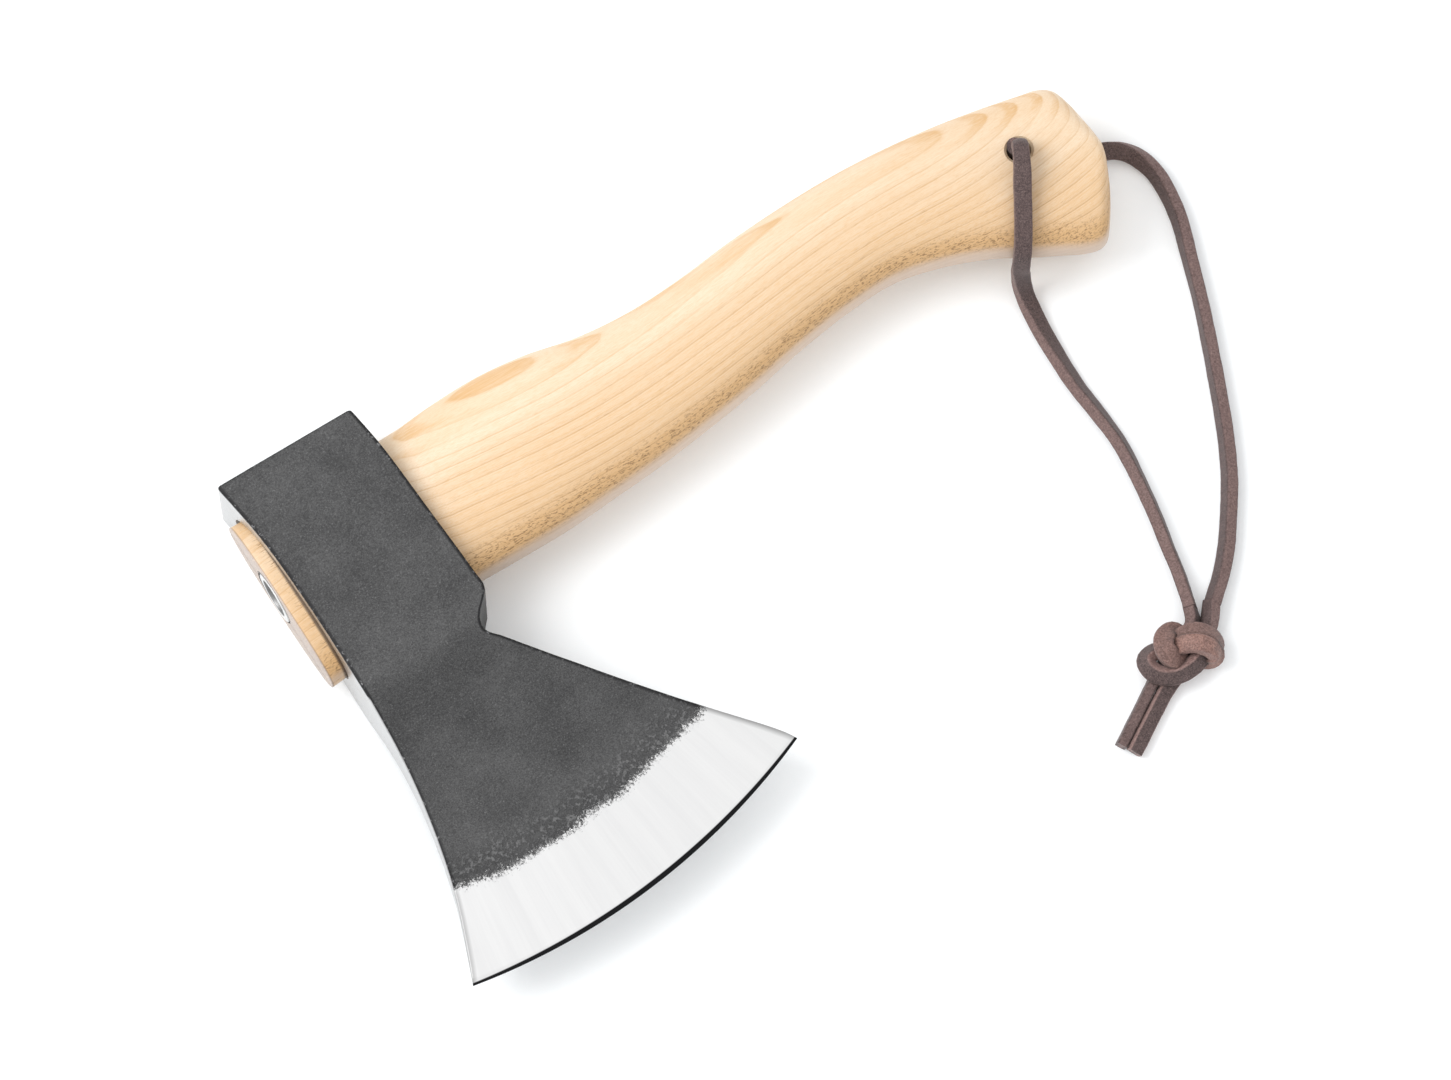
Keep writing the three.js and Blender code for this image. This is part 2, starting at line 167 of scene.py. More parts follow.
FAR_LEG = [
    (0.0968, 0.0393, 0.0021), (0.1012, 0.0385, 0.0021), (0.1060, 0.0374, 0.0021),
    (0.1113, 0.0359, 0.0021), (0.1169, 0.0339, 0.0021), (0.1206, 0.0319, 0.0021),
    (0.1232, 0.0286, 0.0021), (0.1248, 0.0237, 0.0021), (0.1249, 0.0180, 0.0021),
    (0.1238, 0.0107, 0.0021), (0.1207, 0.0008, 0.0021), (0.1171, -0.0101, 0.0021),
    (0.1127, -0.0216, 0.0021), (0.1084, -0.0322, 0.0021), (0.1046, -0.0409, 0.0021),
    (0.1001, -0.0495, 0.0021), (0.0952, -0.0569, 0.0021), (0.0909, -0.0628, 0.0021),
    (0.0864, -0.0678, 0.0022), (0.0826, -0.0712, 0.0026), (0.0804, -0.0732, 0.0032),
]
TAIL_A = [(0.0581, -0.0821, 0.0020), (0.0520, -0.0860, 0.0020), (0.0445, -0.0907, 0.0020)]
TAIL_B = [(0.0607, -0.0846, 0.0020), (0.0539, -0.0888, 0.0020), (0.0463, -0.0936, 0.0020)]

# Turn of each leg about its own line: share of its length, and degrees.
NEAR_LEG_ROLL = [(0, 0), (0.25, 5), (0.5, 50), (0.75, 72), (1, 80)]
FAR_LEG_ROLL = [(0, 0), (0.12, 8), (0.24, -60), (0.45, -78), (0.8, -66), (1, -60)]

# Strands of the knot, from its middle: x, y, z in millimetres and the strip's roll in degrees.
KNOT_STRANDS = {
    "upper_band": [
        (-2.4, 3.6, -1.4, 10), (-1.2, 3.8, 0.6, 20), (1.1, 3.7, 1.9, 28), (3.5, 2.9, 2.4, 32),
        (5.3, 1.2, 2.0, 38), (6.2, -0.5, 1.1, 50), (6.1, -1.9, 0.0, 65), (5.2, -2.8, -1.2, 80),
    ],
    "lower_band": [
        (-3.1, 2.5, 0.0, 0), (-1.6, 2.1, 1.9, 2), (0.2, 1.3, 3.3, 6), (2.1, 0.0, 3.8, 8),
        (3.5, -1.5, 3.4, 12), (4.4, -2.7, 2.3, 25), (4.7, -3.6, 0.8, 50), (4.0, -3.9, -0.8, 70),
        (2.8, -3.4, -1.9, 70), (1.3, -2.0, -2.0, 60),
    ],
    "lobe": [
        (0.3, 4.7, -2.6, 0), (-0.8, 6.2, -1.0, -10), (-2.7, 5.9, 1.0, -12), (-4.3, 4.7, 2.4, -8),
        (-5.1, 2.8, 2.9, -2), (-4.7, 1.0, 2.2, 5), (-3.6, -0.5, 0.4, 5), (-2.2, -1.5, -1.8, 0),
    ],
    "loop": [
        (-4.6, 4.0, -1.8, -50), (-7.2, 4.6, -1.1, -50), (-9.5, 4.0, -0.6, -48), (-10.1, 2.0, -0.3, -46),
        (-9.3, -0.5, -0.1, -46), (-7.2, -2.3, 0.0, -46), (-4.5, -3.2, 0.1, -46),
        (-1.4, -3.2, 0.1, -46), (1.4, -2.4, -0.1, -46), (3.3, -1.2, -0.8, -46), (4.2, 0.6, -1.6, -46),
    ],
    "core_a": [(6.2, 10.2, -1.9, 80), (4.4, 5.6, -2.0, 60), (-3.2, 1.8, -2.4, -20), (-7.8, 0.4, -2.6, -60),
               (-12.4, -2.1, -2.7, -78)],
    "core_b": [(11.2, 8.2, -1.6, -60), (7.4, 3.6, -1.8, -40), (1.0, -1.0, -2.0, 0), (-5.6, -2.8, -2.5, 26),
               (-9.9, -4.7, -2.5, 28)],
}

# How worn and warm each strand is, and how large its section is.
KNOT_RUB = {"upper_band": 0.5, "lower_band": 1.0, "lobe": 0.6, "loop": 0.0}
KNOT_SIZE = {"upper_band": 1.0, "lower_band": 1.0, "lobe": 1.15, "loop": 1.0}
# How pale the cut edges of the strands, the legs and each tail are.
KNOT_EDGE = {"upper_band": 0.1, "lower_band": 0.4, "lobe": 0.1, "loop": 1.0}
LEG_EDGE = 0.45
TAIL_EDGE = {"core_a": 0.35, "core_b": 1.0}
TAIL_SIZE = 0.86
# The hole squeezes the lace rounder: how far at shares of the near leg's length.
SQUEEZE = ((0, 0.02, 0.07), (0.85, 0.7, 0))
SQUEEZED_RADIUS = 1.9 * MM
# The drawn knot is raised by this much over the middle of the CAD knot.
KNOT_LIFT = 0.25 * MM

# -------- camera

CAMERA_AZIMUTH = math.radians(31.5)
CAMERA_ELEVATION = math.radians(75)
CAMERA_DISTANCE = 2.7932
CAMERA_LENS = 300
CAMERA_TARGET = Vector((-0.0115, -0.0064, CHEEK_HALF * 2))


def make_camera():
    """A long lens above the hatchet, square to no face of it."""
    right = Vector((math.cos(CAMERA_AZIMUTH), -math.sin(CAMERA_AZIMUTH), 0))
    back = Vector((
        -math.sin(CAMERA_AZIMUTH) * math.cos(CAMERA_ELEVATION),
        -math.cos(CAMERA_AZIMUTH) * math.cos(CAMERA_ELEVATION),
        math.sin(CAMERA_ELEVATION),
    ))
    axes = Matrix((right, back.cross(right), back)).transposed()
    data = bpy.data.cameras.new("camera")
    data.lens = CAMERA_LENS
    data.sensor_width = 36
    data.clip_start = 0.01
    camera = bpy.data.objects.new("camera", data)
    bpy.context.scene.collection.objects.link(camera)
    camera.matrix_world = Matrix.Translation(CAMERA_TARGET + back * CAMERA_DISTANCE) @ axes.to_4x4()
    bpy.context.scene.camera = camera


# -------- mesh helpers


def piece(name, points, faces, material, sharp_angle=35):
    """A mesh object with smooth faces, and sharp edges where it turns by more than sharp_angle."""
    mesh = bpy.data.meshes.new(name)
    mesh.from_pydata([tuple(map(float, p)) for p in points], [], [tuple(map(int, f)) for f in faces])
    made = bpy.data.objects.new(name, mesh)
    bpy.context.scene.collection.objects.link(made)
    made.data.materials.append(material)
    clean(made, sharp_angle)
    return made


def clean(made, sharp_angle):
    """Turns all faces outwards, shades them smooth and marks the sharp edges."""
    work = bmesh.new()
    work.from_mesh(made.data)
    bmesh.ops.remove_doubles(work, verts=work.verts, dist=1e-7)
    bmesh.ops.recalc_face_normals(work, faces=work.faces)
    limit = math.radians(sharp_angle)
    for face in work.faces:
        face.smooth = True
    for edge in work.edges:
        edge.smooth = len(edge.link_faces) == 2 and edge.calc_face_angle(0) < limit
    work.to_mesh(made.data)
    work.free()


def combine(made, tools, operation, sharp_angle=30):
    """Cuts the tools out of a piece, or keeps what is inside all of them, and removes them."""
    for tool in tools:
        step = made.modifiers.new("combine", "BOOLEAN")
        step.operation = operation
        step.solver = "EXACT"
        step.object = tool
    shown = made.evaluated_get(bpy.context.evaluated_depsgraph_get())
    mesh = bpy.data.meshes.new_from_object(shown)
    made.modifiers.clear()
    made.data = mesh
    for tool in tools:
        bpy.data.objects.remove(tool)
    clean(made, sharp_angle)


def coordinates(made):
    """The points of a piece's mesh as an array."""
    flat = np.zeros(len(made.data.vertices) * 3)
    made.data.vertices.foreach_get("co", flat)
    return flat.reshape(-1, 3)


def paint(made, name, values):
    """Stores one number for each point, which its material reads."""
    attribute = made.data.attributes.new(name, "FLOAT", "POINT")
    attribute.data.foreach_set("value", np.asarray(values, np.float32))


def carried(made, points, values):
    """Values known on the points of an earlier mesh, at the points of this one."""
    tree = KDTree(len(points))
    for i, p in enumerate(points):
        tree.insert(p, i)
    tree.balance()
    result = []
    for p in coordinates(made):
        near = tree.find_n(p, 4)
        weights = np.array([1 / (distance + 1e-6) for _, _, distance in near])
        result.append(np.dot(weights, [values[i] for _, i, _ in near]) / weights.sum())
    return result


def tube_faces(rings, sides):
    """Quads between rings of a closed loft."""
    return [
        (r * sides + s, r * sides + (s + 1) % sides, (r + 1) * sides + (s + 1) % sides, (r + 1) * sides + s)
        for r in range(rings - 1) for s in range(sides)
    ]


def closed_skin(rings):
    """Points and faces of a loft over rings of equal length, with a fan round a hub at each end."""
    sides = len(rings[0])
    last = (len(rings) - 1) * sides
    first_hub = last + sides
    faces = tube_faces(len(rings), sides)
    faces += [(first_hub, (s + 1) % sides, s) for s in range(sides)]
    faces += [(first_hub + 1, last + s, last + (s + 1) % sides) for s in range(sides)]
    return np.concatenate([*rings, [rings[0].mean(0), rings[-1].mean(0)]]), faces


def capped_loft(name, rings, material, sharp_angle=35):
    """A closed piece lofted over rings of equal length."""
    return piece(name, *closed_skin(rings), material, sharp_angle)


def circle(radius, along, axis, centre, sides):
    """Points of a circle round a line through centre, at one place along it."""
    angle = 2 * np.pi * np.arange(sides) / sides
    first, second = [k for k in range(3) if k != axis]
    points = np.zeros((sides, 3))
    points[:, axis] = along
    points[:, first] = centre[0] + radius * np.cos(angle)
    points[:, second] = centre[1] + radius * np.sin(angle)
    return points


def turned(name, profile, axis, centre, sides, material):
    """A solid turned round an axis, from a profile of (radius, along) that starts and ends on it."""
    return capped_loft(name, [circle(*at, axis, centre, sides) for at in profile[1:-1]], material)


def blend_between(a, b, at_a, at_b, t):
    """The value at t on the straight run from a at at_a to b at at_b."""
    return (a * (at_b - t) + b * (t - at_a)) / (at_b - at_a)


def smooth_line(points, step):
    """Points about step apart on a centripetal Catmull-Rom curve. Numbers after x, y and z go along."""
    p = np.array(points, float)
    p = np.vstack([2 * p[0] - p[1], p, 2 * p[-1] - p[-2]])
    dense = []
    for a, b, c, d in zip(p, p[1:], p[2:], p[3:]):
        spans = [np.linalg.norm((end - start)[:3]) ** 0.5 for start, end in ((a, b), (b, c), (c, d))]
        ta, tb, tc, td = np.concatenate([[0], np.cumsum(spans)])
        for t in np.linspace(tb, tc, CURVE_POINTS, endpoint=False):
            ab = blend_between(a, b, ta, tb, t)
            bc = blend_between(b, c, tb, tc, t)
            cd = blend_between(c, d, tc, td, t)
            abc = blend_between(ab, bc, ta, tc, t)
            bcd = blend_between(bc, cd, tb, td, t)
            dense.append(blend_between(abc, bcd, tb, tc, t))
    dense = np.array(dense + [p[-2]])
    along = run_length(dense)
    at = np.linspace(0, along[-1], max(3, round(along[-1] / step) + 1))
    return np.stack([np.interp(at, along, column) for column in dense.T], axis=1)


def run_length(line):
    """Distance along a line at each of its points."""
    return np.concatenate([[0], np.cumsum(np.linalg.norm(np.diff(line[:, :3], axis=0), axis=1))])


def unit(vectors):
    """Vectors along the last axis, each made one long."""
    return vectors / np.linalg.norm(vectors, axis=-1, keepdims=True)


# -------- materials


class Shader:
    """A node material whose steps read like sums. Positions are in millimetres in the part's frame."""

    def __init__(self, name):
        self.material = bpy.data.materials.new(name)
        self.material.use_nodes = True
        self.tree = self.material.node_tree
        self.tree.nodes.clear()
        self.surface = self.node("ShaderNodeBsdfPrincipled")
        output = self.node("ShaderNodeOutputMaterial")
        self.tree.links.new(self.surface.outputs[0], output.inputs[0])
        place = self.node("ShaderNodeTexCoord").outputs["Object"]
        self.position = self.scaled(place, (1 / MM,) * 3)
        self.x, self.y, self.z = self.split(self.position)

    def node(self, kind, **settings):
        made = self.tree.nodes.new(kind)
        for key, value in settings.items():
            setattr(made, key, value)
        return made

    def fill(self, socket, value):
        """Links a socket to another node's output, or sets its own number or colour."""
        if isinstance(value, bpy.types.NodeSocket):
            self.tree.links.new(value, socket)
        elif isinstance(value, tuple) and socket.type == "RGBA":
            socket.default_value = (*value, 1)
        else:
            socket.default_value = value

    def set(self, **values):
        """Fills inputs of the surface by name, with _ for a space."""
        for key, value in values.items():
            self.fill(self.surface.inputs[key.replace("_", " ")], value)

    def result(self, kind, *values, **settings):
        """Outputs of a new node whose first inputs are filled in order."""
        made = self.node(kind, **settings)
        for socket, value in zip(made.inputs, values):
            self.fill(socket, value)
        return made.outputs

    def math(self, operation, *values):
        return self.result("ShaderNodeMath", *values, operation=operation)[0]

    def add(self, a, b):
        return self.math("ADD", a, b)

    def times(self, a, b):
        return self.math("MULTIPLY", a, b)

    def length(self, a, b):
        """Length of the slanted side over a and b."""
        return self.math("SQRT", self.add(self.times(a, a), self.times(b, b)))

    def scaled(self, vector, factors):
        return self.result("ShaderNodeVectorMath", vector, factors, operation="MULTIPLY")[0]

    def split(self, vector):
        return self.result("ShaderNodeSeparateXYZ", vector)

    def join(self, x, y, z):
        return self.result("ShaderNodeCombineXYZ", x, y, z)[0]

    def noise(self, vector, scale, detail=2.0, roughness=0.5):
        """Fractal noise from 0 to 1, with features about 1 / scale millimetres wide."""
        made = self.node("ShaderNodeTexNoise")
        self.fill(made.inputs["Vector"], vector)
        self.fill(made.inputs["Scale"], scale)
        self.fill(made.inputs["Detail"], detail)
        self.fill(made.inputs["Roughness"], roughness)
        return made.outputs[0]

    def streaks(self, vector, factors, detail=2.0, roughness=0.5):
        """Fractal noise stretched along the axes that have small factors."""
        return self.noise(self.scaled(vector, factors), 1.0, detail, roughness)

    def step(self, value, low, high, to_low=0.0, to_high=1.0):
        """A smooth step of value from low to high."""
        numbers = (value, low, high, to_low, to_high)
        return self.result("ShaderNodeMapRange", *numbers, interpolation_type="SMOOTHSTEP")[0]

    def ramp(self, value, stops):
        """A curve through (position, value) stops."""
        made = self.node("ShaderNodeValToRGB")
        self.fill(made.inputs[0], value)
        band = made.color_ramp.elements
        while len(band) < len(stops):
            band.new(1.0)
        for element, (at, level) in zip(band, stops):
            element.position = at
            element.color = (level, level, level, 1)
        return made.outputs[0]

    def mix(self, factor, a, b):
        made = self.node("ShaderNodeMix", data_type="RGBA")
        self.fill(made.inputs[0], factor)
        self.fill(made.inputs[6], a)
        self.fill(made.inputs[7], b)
        return made.outputs[2]

    def layers(self, colour, *coats):
        """Coats over a colour, each given by where it lies, how strong it is and its own colour."""
        for where, strength, coat in coats:
            colour = self.mix(self.times(where, strength), colour, coat)
        return colour

    def attribute(self, name):
        return self.node("ShaderNodeAttribute", attribute_name=name).outputs["Fac"]

    def bump(self, height, depth):
        """Relief of the given depth in millimetres where height runs from 0 to 1."""
        made = self.node("ShaderNodeBump")
        self.fill(made.inputs["Strength"], 1.0)
        self.fill(made.inputs["Distance"], depth * MM)
        self.fill(made.inputs["Height"], height)
        self.fill(self.surface.inputs["Normal"], made.outputs[0])


def edge_distance(shader):
    """Distance in millimetres from the centre of the edge's arc, and the angle round it."""
    across = shader.add(shader.x, -EDGE_CENTRE[0] / MM)
    along = shader.add(shader.y, -EDGE_CENTRE[1] / MM)
    return shader.length(across, along), shader.math("ARCTAN2", across, shader.times(along, -1.0))


# Width of the painted dark reflection on the honed line, in millimetres: in the middle of the edge, and how
# much less at its ends.
HONED_WIDTH = 1.15
HONED_LESS = 0.6
# Middle of the edge and half of its length, as angles round its centre in radians.
EDGE_MIDDLE = 0.125
EDGE_HALF = 0.305
# Height over the middle plane, in millimetres, where the ground eye end turns into a dark strip.
END_STRIP = (13.2, 13.9)


def honed_dark_reflection(s, radius, angle):
    """The honed line along the edge, painted near black as a dark reflection, narrower towards both ends.
    """
    off_middle = s.times(s.add(angle, -EDGE_MIDDLE), 1 / EDGE_HALF)
    width = s.add(HONED_WIDTH, s.times(s.times(off_middle, off_middle), -HONED_LESS))
    from_edge = s.math("SUBTRACT", EDGE_RADIUS / MM, radius)
    return s.step(s.math("SUBTRACT", from_edge, width), 0.12, -0.12)


def forge_scale(s, grain, coarse, near_border):
    """Colour of the dark scale with chipped corners and painted dark shade along them, and the pits beside
    the grinding.
    """
    cloud = s.noise(s.position, 0.08, 2.0, 0.5)
    speck = s.step(s.noise(s.position, 2.6, 2.0, 0.6), 0.64, 0.74)
    shade = s.add(s.times(cloud, 0.16), s.add(s.times(grain, 0.76), s.times(coarse, 0.08)))
    pit_field = s.noise(s.position, 0.95, 4.0, 0.7)
    pits = s.times(near_border, s.step(pit_field, 0.44, 0.58))
    rims = s.times(near_border, s.step(pit_field, 0.40, 0.44, 1.0, 0.0))
    corner_shade_and_wear = s.attribute("corner_shade_and_wear")
    chipped = s.times(corner_shade_and_wear, s.step(s.noise(s.position, 0.8, 4.0, 0.8), 0.55, 0.66))
    colour = s.layers(
        s.mix(s.step(shade, 0.38, 0.62), (0.024, 0.024, 0.025), (0.094, 0.094, 0.095)),
        (speck, 0.5, (0.17, 0.17, 0.17)),
        (near_border, 0.16, (0.16, 0.16, 0.161)),
        (pits, 0.3, (0.024, 0.024, 0.025)),
        (rims, 0.45, (0.19, 0.19, 0.192)),
        # Painted shade: the corners are painted near black for the dark they show at a grazing angle;
        # chipping lightens them in spots.
        (corner_shade_and_wear, 0.95, (0.008, 0.008, 0.009)),
        (chipped, 0.8, (0.22, 0.22, 0.225)))
    return colour, pits


def ground_end(s, tear):
    """Where the eye end was ground, all but a dark strip along the upper cheek, and its colour."""
    ragged_z = s.add(s.add(s.z, -MID_Z / MM), s.times(s.noise(s.position, 0.6, 3.0, 0.7), 1.6))
    inner = s.step(ragged_z, *END_STRIP, 1.0, 0.0)
    brushing = s.noise(s.scaled(s.position, (1, 0.2, 4)), 0.8, 3.0)
    where = s.times(s.times(s.attribute("end_face"), inner), s.step(tear, 0.3, 0.5, 0.75, 1.0))
    return where, s.mix(brushing, (0.44, 0.44, 0.445), (0.66, 0.66, 0.655))


def forged_steel():
    """Dark forge scale with fine grain, a ground bevel with a torn border and a honed edge painted near
    black as a dark reflection.
    """
    s = Shader("forged_steel")
    radius, angle = edge_distance(s)
    grain = s.noise(s.position, 2.6, 5.0, 0.9)
    coarse = s.noise(s.position, 0.7, 3.0, 0.6)

    # The torn border of the grinding, with a band of deeper pits just above it.
    arc = s.times(angle, EDGE_RADIUS / MM)
    slow = s.noise(s.position, 0.10, 2.0, 0.5)
    tear = s.noise(s.join(arc, s.times(radius, 0.8), s.times(s.z, 0.3)), 1.5, 5.0, 0.95)
    torn = s.add(s.times(slow, 5.0), s.times(tear, 12.0))
    border = s.add(radius, s.add(torn, -8.5))
    bevel_at = BEVEL_RADIUS / MM
    ground = s.step(border, bevel_at - 0.25, bevel_at + 0.25)
    near_border = s.step(s.add(radius, s.times(slow, 5.0)), bevel_at - 9, bevel_at + 1)
    scale_colour, pits = forge_scale(s, grain, coarse, near_border)

    # Grinding lines run square to the edge, so they are thin in angle and long in radius.
    polar = s.join(arc, s.times(radius, 0.03), s.times(s.z, 0.05))
    streak = s.noise(polar, 1.5, 4.0, 0.7)
    streaks = s.add(s.times(streak, 0.45), s.times(s.noise(polar, 0.22, 2.0, 0.5), 0.55))
    ground_colour = s.mix(s.step(streaks, 0.3, 0.7), (0.705, 0.705, 0.708), (0.75, 0.75, 0.75))
    end_ground, end_colour = ground_end(s, tear)
    colour = s.layers(
        scale_colour,
        (ground, 1, ground_colour),
        # Painted shade: near-black corners along the ground bevel as well.
        (s.times(s.attribute("corner_shade_and_wear"), ground), 0.45, (0.02, 0.02, 0.021)),
        (end_ground, 1, end_colour),
        # Painted reflection: the honed line is painted near black for the dark it reflects.
        (honed_dark_reflection(s, radius, angle), 1, (0.014, 0.014, 0.015)))
    bright = s.math("MAXIMUM", ground, end_ground)
    dull = s.add(0.45, s.times(grain, 0.22))
    fine = s.add(0.26, s.times(streaks, 0.16))
    s.set(Base_Color=colour, Metallic=s.add(0.45, s.times(bright, 0.55)))
    s.set(Roughness=s.mix(bright, s.join(dull, dull, dull), s.join(fine, fine, fine)))
    scale_relief = s.add(s.times(coarse, 0.5), s.add(s.times(grain, 0.25), s.times(pits, -0.7)))
    relief = s.mix(ground, s.join(scale_relief, 0, 0), s.join(s.times(streak, 0.06), 0, 0))
    s.bump(s.split(relief)[0], 0.16)
    return s.material


# The wood's growth rings are this far apart, in millimetres.
RING_SPACING = 1.75
# The painted shadow crescent above the steel ring is that ring's circle, raised by this many millimetres.
CRESCENT_RISE = 1.0
# Colours of the wood.
PALE = (0.775, 0.630, 0.470)
CREAM = (0.72, 0.545, 0.37)
OCHRE = (0.64, 0.385, 0.165)
BROWN = (0.25, 0.13, 0.050)
SHEEN_ROSE = (0.66, 0.55, 0.49)
# Far point that the growth rings are curved round, as y and z in millimetres.
PITH = (-84, -142)
# The fibres run almost straight, sway a little along the grip and turn up at the butt.
GRAIN_SLOPE = 0.03
SWAY = 1.83
SWAY_LENGTH = 135
SWAY_START = -12
GRAIN_BEND = 0.0034
GRAIN_BEND_START = 72


def wood_fields(s):
    """Growth ring position, and a vector with the fibres along its first number."""
    past = s.math("MAXIMUM", s.add(s.x, -GRAIN_BEND_START), 0.0)
    turn = s.times(s.add(s.x, -SWAY_START), 2 * math.pi / SWAY_LENGTH)
    sway = s.times(s.math("COSINE", turn), -SWAY)
    drift = s.add(s.add(s.times(s.x, GRAIN_SLOPE), sway), s.times(s.times(past, past), GRAIN_BEND))
    across = s.math("SUBTRACT", s.y, drift)
    wander = s.noise(s.scaled(s.position, (0.25, 1, 1)), 0.03, 1.0, 0.4)
    ripple = s.noise(s.scaled(s.position, (0.06, 1, 1)), 0.35, 2.0, 0.5)
    from_y = s.add(across, -PITH[0])
    from_z = s.add(s.z, -PITH[1])
    bent = s.add(s.length(from_y, from_z), s.add(s.times(wander, 4.0), s.times(ripple, 0.4)))
    return s.times(bent, 1 / RING_SPACING), s.join(s.x, across, s.z)


def tongue_look(s, colour):
    """The tongue over plain wood: a warm strip outside the eye, pale end grain, and painted shadow as a
    dark line at the eye's mouth and at the ring.
    """
    (high_x, high_y), (low_x, _) = TONGUE_END / MM
    from_end = s.add(s.x, s.add(s.times(s.y, (low_x - high_x) / high_y), -low_x))
    end = s.step(from_end, 0.55, 0.2)
    out = s.step(from_end, 6.5, 4.5)
    weathered = s.streaks(s.position, (0.3, 2.5, 0.6), 3.0, 0.7)
    checks = s.step(s.streaks(s.position, (0.25, 2.2, 0.4), 3.0, 0.8), 0.56, 0.66)
    mouth = s.step(from_end, 1.2, 4.0, 0.15, 1.0)
    rays = s.streaks(s.position, (1, 3.5, 0.8))
    end_grain = s.mix(s.step(rays, 0.3, 0.7), (0.44, 0.37, 0.335), (0.54, 0.44, 0.365))
    rim = s.times(s.step(from_end, 0.6, 0.45), s.step(from_end, 0.15, 0.3))

    # Painted shadow of the ring's sunk channel: a dark crescent above the ring, and dark round the ring and
    # over its core.
    ring_y = s.add(s.y, -RING_Y / MM)
    ring_z = s.add(s.z, -MID_Z / MM)
    from_ring = s.length(ring_y, ring_z)
    from_crescent = s.length(ring_y, s.add(ring_z, -CRESCENT_RISE))
    outer = RING_RADIUS / MM
    above = s.times(s.step(from_crescent, outer + 0.7, outer + 0.5), s.step(from_end, 0.45, 0.3))
    around = s.times(s.step(from_ring, outer + 0.6, outer + 0.4), s.step(from_end, 3.0, 2.0))
    return s.layers(
        colour,
        (out, s.times(weathered, 0.5), OCHRE),
        (out, s.times(checks, mouth), BROWN),
        # Painted shadow of the gap at the eye's mouth: a near-black line.
        (out, s.step(from_end, 3.3, 4.0, 0.0, 0.85), (0.05, 0.03, 0.02)),
        (end, 1, end_grain),
        (rim, 0.45, BROWN),
        (s.math("MAXIMUM", above, around), 0.9, (0.03, 0.02, 0.015)))


def wood(name, depth):
    """Ring-porous hardwood: thin dark rings, fine dashes of open pores and fibre streaks, with painted
    shade along the edge side and the lower half.
    """
    s = Shader(name)
    ring, fibre = wood_fields(s)
    part = s.math("FRACT", ring)
    line = s.ramp(part, [(0, 1.0), (0.06, 0.75), (0.10, 0.22), (0.50, 0.03), (0.97, 0.0), (0.985, 1.0)])
    each = s.noise(s.join(s.math("FLOOR", ring), 0.0, 0.0), 0.71, 0.0)
    between = s.math("FRACT", s.add(s.times(ring, 2.0), 0.43))
    thin = s.ramp(between, [(0, 1.0), (0.09, 0.5), (0.16, 0.0), (0.95, 0.0), (0.98, 1.0)])
    faded = s.streaks(fibre, (0.03, 0.25, 0.25))
    line = s.times(line, s.times(s.step(each, 0.2, 0.7, 0.35, 1.0), s.step(faded, 0.25, 0.65, 0.4, 1.0)))
    early = s.ramp(part, [(0, 1.0), (0.30, 0.85), (0.50, 0.12), (0.90, 0.03), (1.0, 0.9)])
    dashes = s.step(s.streaks(fibre, (0.45, 5.0, 5.0)), 0.56, 0.70)
    flecks = s.step(s.streaks(fibre, (0.9, 3.0, 3.0), 3.0, 0.7), 0.55, 0.61)
    broad = s.streaks(fibre, (0.02, 0.16, 0.16))
    silk = s.streaks(fibre, (0.10, 2.6, 2.6), 3.0, 0.6)
    hair = s.streaks(fibre, (0.45, 6.0, 6.0), 3.0, 0.75)

    # Painted shade: the band along the edge side and the lower half are where the handle turns away from
    # the light.
    band = s.attribute("edge_side_shade_band")
    poll = s.attribute("poll_side")
    low = s.attribute("shaded_lower_half")
    patch = s.times(poll, s.times(early, s.step(broad, 0.35, 0.6, 0.3, 1.0)))
    patch = s.times(patch, s.step(silk, 0.25, 0.65, 0.40, 1.0))
    warm = s.math("MAXIMUM", s.times(band, 0.70), s.times(patch, 0.95))
    # The ochre band, the cream and ochre towards the lower half and the stronger lines and flecks there are
    # painted shade over the real grain and pores.
    colour = s.layers(
        s.mix(s.step(s.add(broad, s.times(low, 0.35)), 0.3, 0.8), PALE, CREAM),
        (warm, 1, OCHRE),
        (s.step(silk, 0.3, 0.75), 0.14, OCHRE),
        (s.step(hair, 0.46, 0.60), s.add(0.30, s.times(low, 0.16)), OCHRE),
        (s.times(low, low), 0.24, OCHRE),
        (line, s.add(0.45, s.times(low, 0.45)), OCHRE),
        (thin, s.times(s.times(low, faded), 0.95), OCHRE),
        (line, s.add(0.06, s.times(low, 0.34)), BROWN),
        (s.times(dashes, early), s.add(0.10, s.times(low, 0.18)), BROWN),
        (s.times(flecks, band), 0.75, BROWN),
        # Painted sheen: a pale rose reflection along the lower flank.
        (s.attribute("flank_sheen"), 0.6, SHEEN_ROSE))
    s.set(Base_Color=tongue_look(s, colour), Roughness=s.step(silk, 0.2, 0.8, 0.40, 0.52))
    s.set(Specular_IOR_Level=0.45, Coat_Weight=0.12, Coat_Roughness=0.28)
    relief = s.add(s.times(silk, 0.25), s.add(s.times(line, -0.3), s.times(s.times(flecks, band), -0.6)))
    s.bump(relief, depth)
    return s.material


